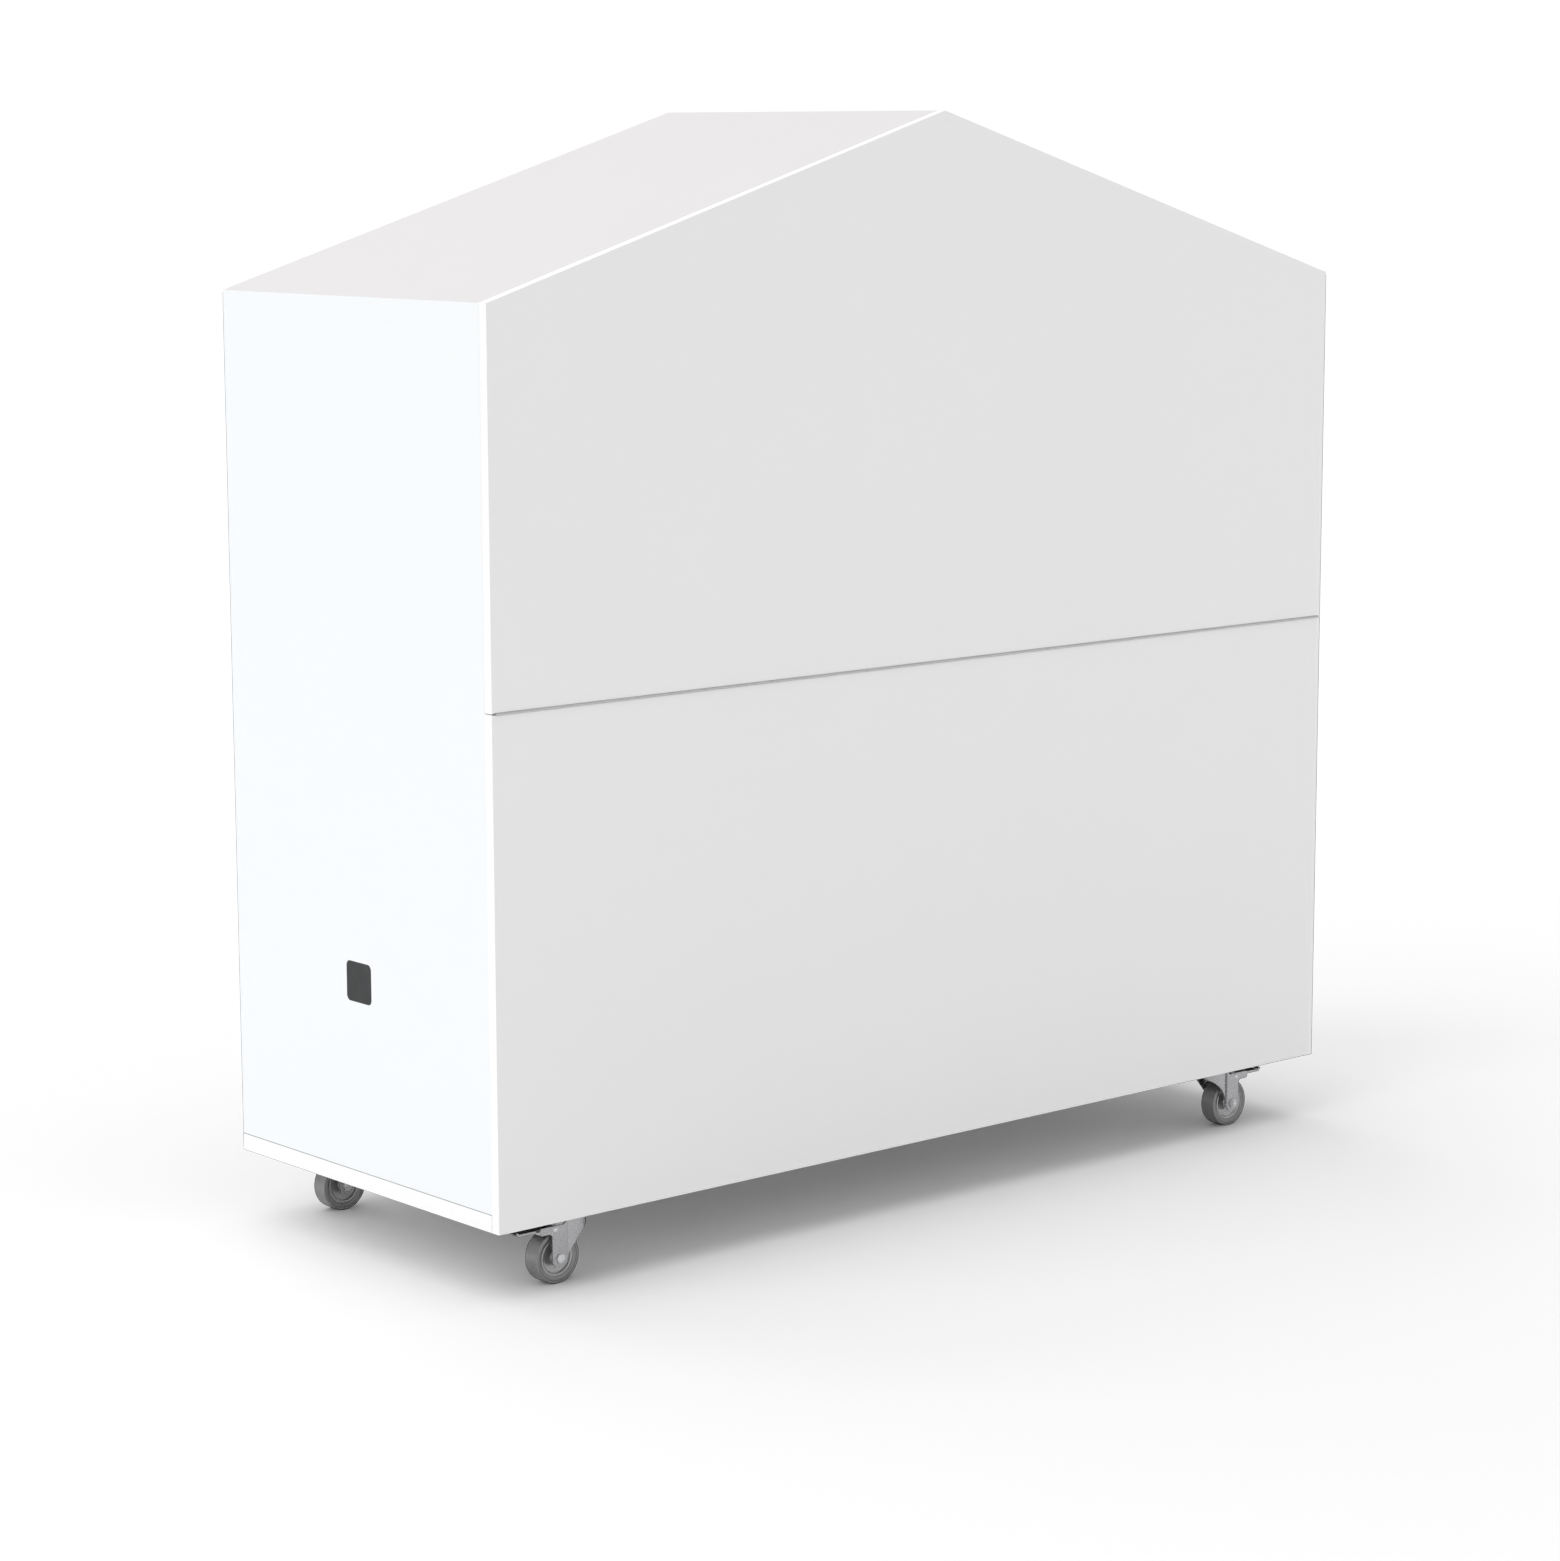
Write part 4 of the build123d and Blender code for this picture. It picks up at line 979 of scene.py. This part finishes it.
class CABINET_OT_castor_steel(PieceOperator, bpy.types.Operator):
    """Makes the castor plates, forks, brake pedals and kingpins"""

    bl_idname = "cabinet.castor_steel"
    bl_label = "Castor steel"

    def make(self, scene):
        for place in PLACES:
            fitting_piece("castor_plate_" + place, finish("zinc plate"), 0.0008)
            self.make_fork(place, scene)
        for place in FRONT_PLACES:
            self.make_pedal(place, scene)
        self.make_kingpins()

    def make_fork(self, place, scene):
        """Pressed fork whose legs step out from the round skirt, with rounded arm ends."""
        castors = scene.cabinet_castors
        node = "fork_" + place
        kingpin, axle = castor_axes(place)
        way = math.copysign(1.0, axle.x - kingpin.x)
        bm = joined_mesh(node)

        def along(vert):
            return (vert.co.x - kingpin.x) * way

        def across(vert):
            return abs(vert.co.y - kingpin.y)

        skirt = max(across(vert) for vert in bm.verts)
        leg = max(across(vert) for vert in bm.verts if along(vert) > abs(axle.x - kingpin.x))
        fold = math.sqrt(skirt**2 - leg**2)
        arm_end = max(along(vert) for vert in bm.verts)
        arm_low = min(vert.co.z for vert in bm.verts if along(vert) > arm_end - NEAR)
        corners = [
            edge
            for edge in bm.edges
            if all(along(vert) > arm_end - NEAR and vert.co.z < arm_low + NEAR for vert in edge.verts)
        ]
        round_edges(bm, corners, castors.arm_rounding, segments=6)
        step_run = castors.leg_step / 2
        for place_along_leg in (fold, fold + step_run):
            cut_across(bm, kingpin.x + way * place_along_leg)
        for vert in bm.verts:
            if along(vert) > fold + step_run - WELD and across(vert) > leg - LEG_THICKNESS:
                vert.co.y += math.copysign(castors.leg_step, vert.co.y - kingpin.y)
        bm.normal_update()
        round_edges(bm, long_sharp_edges(bm, 0.0008), scene.cabinet_fittings.edge_radius)
        flatten_flats(keep_piece(node + "_steel", to_mesh(bm, node), node, [finish("zinc plate")]))

    def make_pedal(self, place, scene):
        """Shallow pressed tray with a turned-up nose, painted near-black inside for the shade under the
        cabinet.
        """
        node = "pedal_" + place
        kingpin, axle = castor_axes(place)
        way = math.copysign(1.0, axle.x - kingpin.x)
        pivot = Vector(JOINTS["brake_" + place]["pos_m"])
        low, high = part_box(node)
        half = (high[1] - low[1]) / 2
        floor_z = pivot.z + TRAY_WALL / 2
        bm = joined_mesh(node)

        def along(vert):
            return (vert.co.x - pivot.x) * way

        reach = max(along(vert) for vert in bm.verts)
        near, far = TRAY_START, reach - TRAY_NOSE
        for cut in (near - SLOPE_IN, near, far, far + SLOPE_OUT):
            cut_across(bm, pivot.x + way * cut)
        for vert in bm.verts:
            if near - ON_PLANE < along(vert) < far + ON_PLANE and vert.co.z > floor_z + RIM_FOOT:
                vert.co.z = floor_z + scene.cabinet_castors.pedal_rim
        bm.normal_update()
        round_edges(bm, long_sharp_edges(bm, 0.0008), scene.cabinet_fittings.edge_radius / 2)
        # faces inside the tray take the near-black paint that stands for the shade under the cabinet
        for face in bm.faces:
            middle = face.calc_center_median()
            across, ahead = abs(middle.y - pivot.y), (middle.x - pivot.x) * way
            in_shaded_tray = across < half - TRAY_WALL + NEAR and middle.z > floor_z - NEAR
            face.material_index = 1 if in_shaded_tray and ahead > near - PAD_LEAD else 0
        materials = [finish("zinc plate"), finish("pedal pad")]
        flatten_flats(keep_piece(node + "_steel", to_mesh(bm, node), node, materials))

    def make_kingpins(self):
        """Riveted kingpins with a domed foot below the crown."""
        parts = []
        for points in islands("kingpins"):
            low, high = points.min(0), points.max(0)
            centre = (low + high) / 2
            foot = (high[0] - low[0]) / 2
            above_foot = points[:, 2] > low[2] + FOOT_THICKNESS + ROUGHLY
            shank = np.linalg.norm(points[above_foot, :2] - centre[:2], axis=1).min()
            head = np.linalg.norm(points[points[:, 2] > high[2] - ON_PLANE, :2] - centre[:2], axis=1).max()
            tall = high[2] - low[2]
            rings = [
                (0.0, foot * 0.45),
                (FOOT_EDGE, foot * 0.82),
                (FOOT_ROUND, foot),
                (FOOT_THICKNESS, foot),
                (FOOT_THICKNESS, shank),
                (tall - CROWN_THICKNESS, shank),
                (tall - CROWN_THICKNESS, head),
                (tall, head),
            ]
            parts.append(place_along(turned(rings, 48), (centre[0], centre[1], low[2]), (0, 0, 1)))
        mesh = to_mesh(merge(parts), "kingpins", 35.0)
        keep_piece("kingpins_turned", mesh, "kingpins", [finish("bright steel")])


class CABINET_OT_castor_wheels(PieceOperator, bpy.types.Operator):
    """Makes the tyres and the wheel centres"""

    bl_idname = "cabinet.castor_wheels"
    bl_label = "Castor wheels"

    def make(self, scene):
        castors = scene.cabinet_castors
        for place in PLACES:
            self.make_tyre(place, castors)
            self.make_centre(place, castors)

    def make_tyre(self, place, castors):
        """Tyre with round shoulders, a line round each side and a mould line round its tread."""
        node = "tyre_" + place
        low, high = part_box(node)
        outer = (high[2] - low[2]) / 2
        half = (high[1] - low[1]) / 2
        core_low, core_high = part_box("wheel_centre_" + place)
        inner = (core_high[2] - core_low[2]) / 2 + 2e-5
        shoulder = castors.shoulder
        groove = castors.groove
        line = castors.side_line
        line_r = inner + (outer - inner) * 0.56
        side = [
            (half * 0.88 - groove, inner),
            (half * 0.88, inner + groove),
            (half - line * 0.8, line_r - line),
            (half - line * 1.6, line_r),
            (half, line_r + line),
        ]
        for step in range(9):
            angle = math.pi / 2 * step / 8
            across = half - shoulder + shoulder * math.cos(angle)
            up = outer - shoulder + shoulder * math.sin(angle)
            side.append((across, up - (0.00012 if step == 8 else 0.0)))
        tread = [(half * 0.3, outer), (0.0005, outer), (0.0, outer - 0.0002)]
        right = side + tread
        left = [(-across, up) for across, up in reversed(right[:-1])]
        bm = turned(right + left, castors.segments, looped=True)
        place_along(bm, axle_line(place), (0, 1, 0))
        keep_piece(node + "_moulded", to_mesh(bm, node, 50.0), node, [finish("tyre rubber")])

    def make_centre(self, place, castors):
        """Wheel centre with a hub, a shallow dished web and a rim."""
        node = "wheel_centre_" + place
        low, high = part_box(node)
        rim = (high[2] - low[2]) / 2
        hub_half = (high[1] - low[1]) / 2
        points = islands(node)[0]
        centre = axle_line(place)
        away = np.hypot(points[:, 0] - centre[0], points[:, 2] - centre[2])
        bore = away.min()
        rim_half = np.abs(points[away > rim - NEAR, 1] - centre[1]).max()
        hub = bore * 1.9
        web = rim_half * 0.70
        right = [
            (hub_half, bore),
            (hub_half, hub * 0.94),
            (hub_half - 0.0004, hub),
            (rim_half * 0.86, hub * 1.10),
            (web, hub * 1.26),
        ]
        for step in range(13):
            share = step / 12
            rise = (1 - math.cos(math.pi * share)) / 2
            right.append((web + (rim_half - web) * rise, rim * (0.78 + 0.18 * share)))
        right.append((rim_half - 0.0003, rim))
        left = [(-across, up) for across, up in reversed(right)]
        bm = turned(right + left, castors.segments, looped=True)
        place_along(bm, centre, (0, 1, 0))
        keep_piece(node + "_moulded", to_mesh(bm, node, 50.0), node, [finish("wheel plastic")])


class CABINET_OT_castor_axles(PieceOperator, bpy.types.Operator):
    """Makes the axle bolts with their nuts, and the pedal rivets"""

    bl_idname = "cabinet.castor_axles"
    bl_label = "Castor axles"

    def make(self, scene):
        for place in PLACES:
            self.make_axle(place)
        for place in FRONT_PLACES:
            self.make_rivet(place)

    def make_axle(self, place):
        """Hexagon bolt from one side of the fork, and a nut with a collar on the other."""
        node = "axle_" + place
        solids = sorted(islands(node), key=lambda points: np.ptp(points[:, 1]))
        nut, bolt = solids[0], solids[-1]
        centre = axle_line(place)
        head_up = 1 if abs(bolt[:, 1].max() - centre[1]) < abs(bolt[:, 1].min() - centre[1]) else -1
        low_y, high_y = bolt[:, 1].min(), bolt[:, 1].max()
        start = low_y if head_up > 0 else high_y
        reach = high_y - low_y
        away = np.hypot(bolt[:, 0] - centre[0], bolt[:, 2] - centre[2])
        shank = away[np.abs(bolt[:, 1] - start) < ON_PLANE].max()
        flat = away.max() * math.cos(math.pi / 6)
        wide = bolt[away > shank * FULL_PROFILE]
        if len(wide) and np.abs(wide[:, 1] - start).min() < ON_PLANE:
            start = high_y if start == low_y else low_y
            head_up = -head_up
            shank = away[np.abs(bolt[:, 1] - start) < ON_PLANE].max()
        head = np.ptp(wide[:, 1])
        rings = [
            (0.0, shank * 0.82),
            (0.0006, shank),
            (reach - head, shank),
            (reach - head, flat * 0.96),
            (reach - head * 0.92, flat, "hex"),
            (reach - head * 0.25, flat, "hex"),
            (reach - head * 0.10, flat * 0.99, "hex_cut"),
            (reach - head * 0.02, flat * 0.88),
            (reach, flat * 0.70),
        ]
        direction = (0, head_up, 0)
        body = place_along(turned(rings, 48), (centre[0], start, centre[2]), direction)
        nut_low, nut_high = nut[:, 1].min(), nut[:, 1].max()
        tall = nut_high - nut_low
        bore = shank + 2e-5
        rings = [
            (0.0, bore),
            (0.0, flat * 0.96),
            (tall * 0.08, flat, "hex"),
            (tall * 0.62, flat, "hex"),
            (tall * 0.74, flat * 0.985, "hex_cut"),
            (tall * 0.76, flat * 0.86),
            (tall * 0.94, flat * 0.84),
            (tall, flat * 0.78),
            (tall, bore),
        ]
        seat = nut_high if head_up > 0 else nut_low
        collar = place_along(turned(rings, 48, looped=True), (centre[0], seat, centre[2]), (0, -head_up, 0))
        mesh = to_mesh(merge([body, collar]), node, 30.0)
        keep_piece(node + "_turned", mesh, node, [finish("bright steel")])

    def make_rivet(self, place):
        """Rivet with a domed head each side."""
        node = "pedal_pin_" + place
        low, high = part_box(node)
        centre = (Vector(low) + Vector(high)) / 2
        half = (high[1] - low[1]) / 2 + bpy.context.scene.cabinet_castors.leg_step
        head = (high[0] - low[0]) / 2
        seat = half - RIVET_HEAD
        side = [(seat, RIVET_SHANK), (seat, head), (seat + RIVET_EDGE, head * 0.9), (half, head * 0.45)]
        rings = [(-across, r) for across, r in reversed(side)] + side
        bm = place_along(turned(rings, 32), centre, (0, 1, 0))
        keep_piece(node + "_turned", to_mesh(bm, node, 35.0), node, [finish("bright steel")])


class CABINET_OT_carried_parts(PieceOperator, bpy.types.Operator):
    """Gives the hinge, the balls and the shelf pins their finishes"""

    bl_idname = "cabinet.carried_parts"
    bl_label = "Hinge, balls and pins"

    def make(self, scene):
        for node, name in CARRIED_PARTS.items():
            mesh = frame["nodes"][node].data
            mesh.materials.clear()
            mesh.materials.append(finish(name))


class CABINET_OT_stage(PieceOperator, bpy.types.Operator):
    """Lays the pale floor and sets the light and the camera"""

    bl_idname = "cabinet.stage"
    bl_label = "Stage"

    def make(self, scene):
        stage = scene.cabinet_stage
        scene.view_settings.view_transform = "Standard"
        self.make_floor(scene, stage)
        self.make_surround(scene, stage)
        for name in LIGHTS:
            self.make_light(scene, stage, name)
        self.make_camera(scene, stage)

    def make_floor(self, scene, stage):
        """Pale floor that takes the cabinet's soft shadow."""
        bm = bmesh.new()
        bmesh.ops.create_grid(bm, x_segments=2, y_segments=2, size=stage.floor_size / 2)
        floor = bpy.data.objects.new("floor", to_mesh(bm, "floor"))
        scene.collection.objects.link(floor)
        floor.data.materials.append(finish("pale floor"))
        floor.is_shadow_catcher = True

    def make_surround(self, scene, stage):
        """White surround: even light on the cabinet, and plain white where it is seen."""
        world = bpy.data.worlds.new("surround")
        world.use_nodes = True
        scene.world = world
        tree = world.node_tree
        background = next(node for node in tree.nodes if node.type == "BACKGROUND")
        background.inputs["Color"].default_value = (1, 1, 1, 1)
        path = tree.nodes.new("ShaderNodeLightPath")
        strength = between(tree, path.outputs["Is Camera Ray"], 0.0, 1.0, stage.sky, stage.backdrop)
        link(tree, strength, background.inputs["Strength"])

    def make_light(self, scene, stage, name):
        """One broad soft light, with the settings of that name."""
        light = bpy.data.lights.new(name + " light", "SUN")
        light.energy = getattr(stage, name + "_power")
        light.angle = getattr(stage, name + "_softness")
        lamp = bpy.data.objects.new(name + " light", light)
        lamp.rotation_mode = "QUATERNION"
        lamp.rotation_quaternion = Vector(getattr(stage, name + "_heading")).to_track_quat("Z", "Y")
        scene.collection.objects.link(lamp)

    def make_camera(self, scene, stage):
        """Camera that looks at the closed front and the left wall."""
        low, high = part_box("lower_front_panel")
        corner = Vector((low[0], low[1], low[2]))
        camera = bpy.data.cameras.new("camera")
        camera.sensor_fit = "HORIZONTAL"
        camera.sensor_width = stage.sensor
        camera.lens = stage.lens
        camera.clip_end = stage.floor_size
        viewer = bpy.data.objects.new("camera", camera)
        heading = Matrix.Rotation(-stage.turn, 4, "Z")
        pitch = Matrix.Rotation(math.pi / 2 - stage.tilt, 4, "X")
        roll = Matrix.Rotation(stage.roll, 4, "Z")
        place = Matrix.Translation(corner + Vector(stage.from_corner))
        viewer.matrix_world = place @ heading @ pitch @ roll
        scene.collection.objects.link(viewer)
        scene.camera = viewer


OPERATORS = (
    CABINET_OT_front_boards,
    CABINET_OT_case_boards,
    CABINET_OT_inner_boards,
    CABINET_OT_brackets,
    CABINET_OT_slide_bolts,
    CABINET_OT_screws,
    CABINET_OT_blank_plate,
    CABINET_OT_castor_steel,
    CABINET_OT_castor_wheels,
    CABINET_OT_castor_axles,
    CABINET_OT_carried_parts,
    CABINET_OT_stage,
)
SETTINGS = {
    "cabinet_boards": BoardSettings,
    "cabinet_fittings": FittingSettings,
    "cabinet_castors": CastorSettings,
    "cabinet_stage": StageSettings,
}


class CABINET_PT_panel(bpy.types.Panel):
    """Lists the cabinet's settings and pieces"""

    bl_label = "Counter cabinet"
    bl_idname = "CABINET_PT_panel"
    bl_space_type = "VIEW_3D"
    bl_region_type = "UI"
    bl_category = "Cabinet"

    def draw(self, context):
        for attribute, group in SETTINGS.items():
            box = self.layout.box()
            box.label(text=group.__doc__)
            for name in group.__annotations__:
                box.prop(getattr(context.scene, attribute), name)
        for operator in OPERATORS:
            self.layout.operator(operator.bl_idname)


def register():
    """Adds the settings, the operators and the panel."""
    for attribute, group in SETTINGS.items():
        bpy.utils.register_class(group)
        setattr(bpy.types.Scene, attribute, bpy.props.PointerProperty(type=group))
    for operator in OPERATORS:
        bpy.utils.register_class(operator)
    bpy.utils.register_class(CABINET_PT_panel)


def unregister():
    """Takes them away again."""
    bpy.utils.unregister_class(CABINET_PT_panel)
    for operator in reversed(OPERATORS):
        bpy.utils.unregister_class(operator)
    for attribute, group in SETTINGS.items():
        delattr(bpy.types.Scene, attribute)
        bpy.utils.unregister_class(group)


def main():
    """Makes every piece."""
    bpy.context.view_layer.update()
    register()
    for operator in OPERATORS:
        family, name = operator.bl_idname.split(".")
        getattr(getattr(bpy.ops, family), name)()


if __name__ == "__main__":
    main()
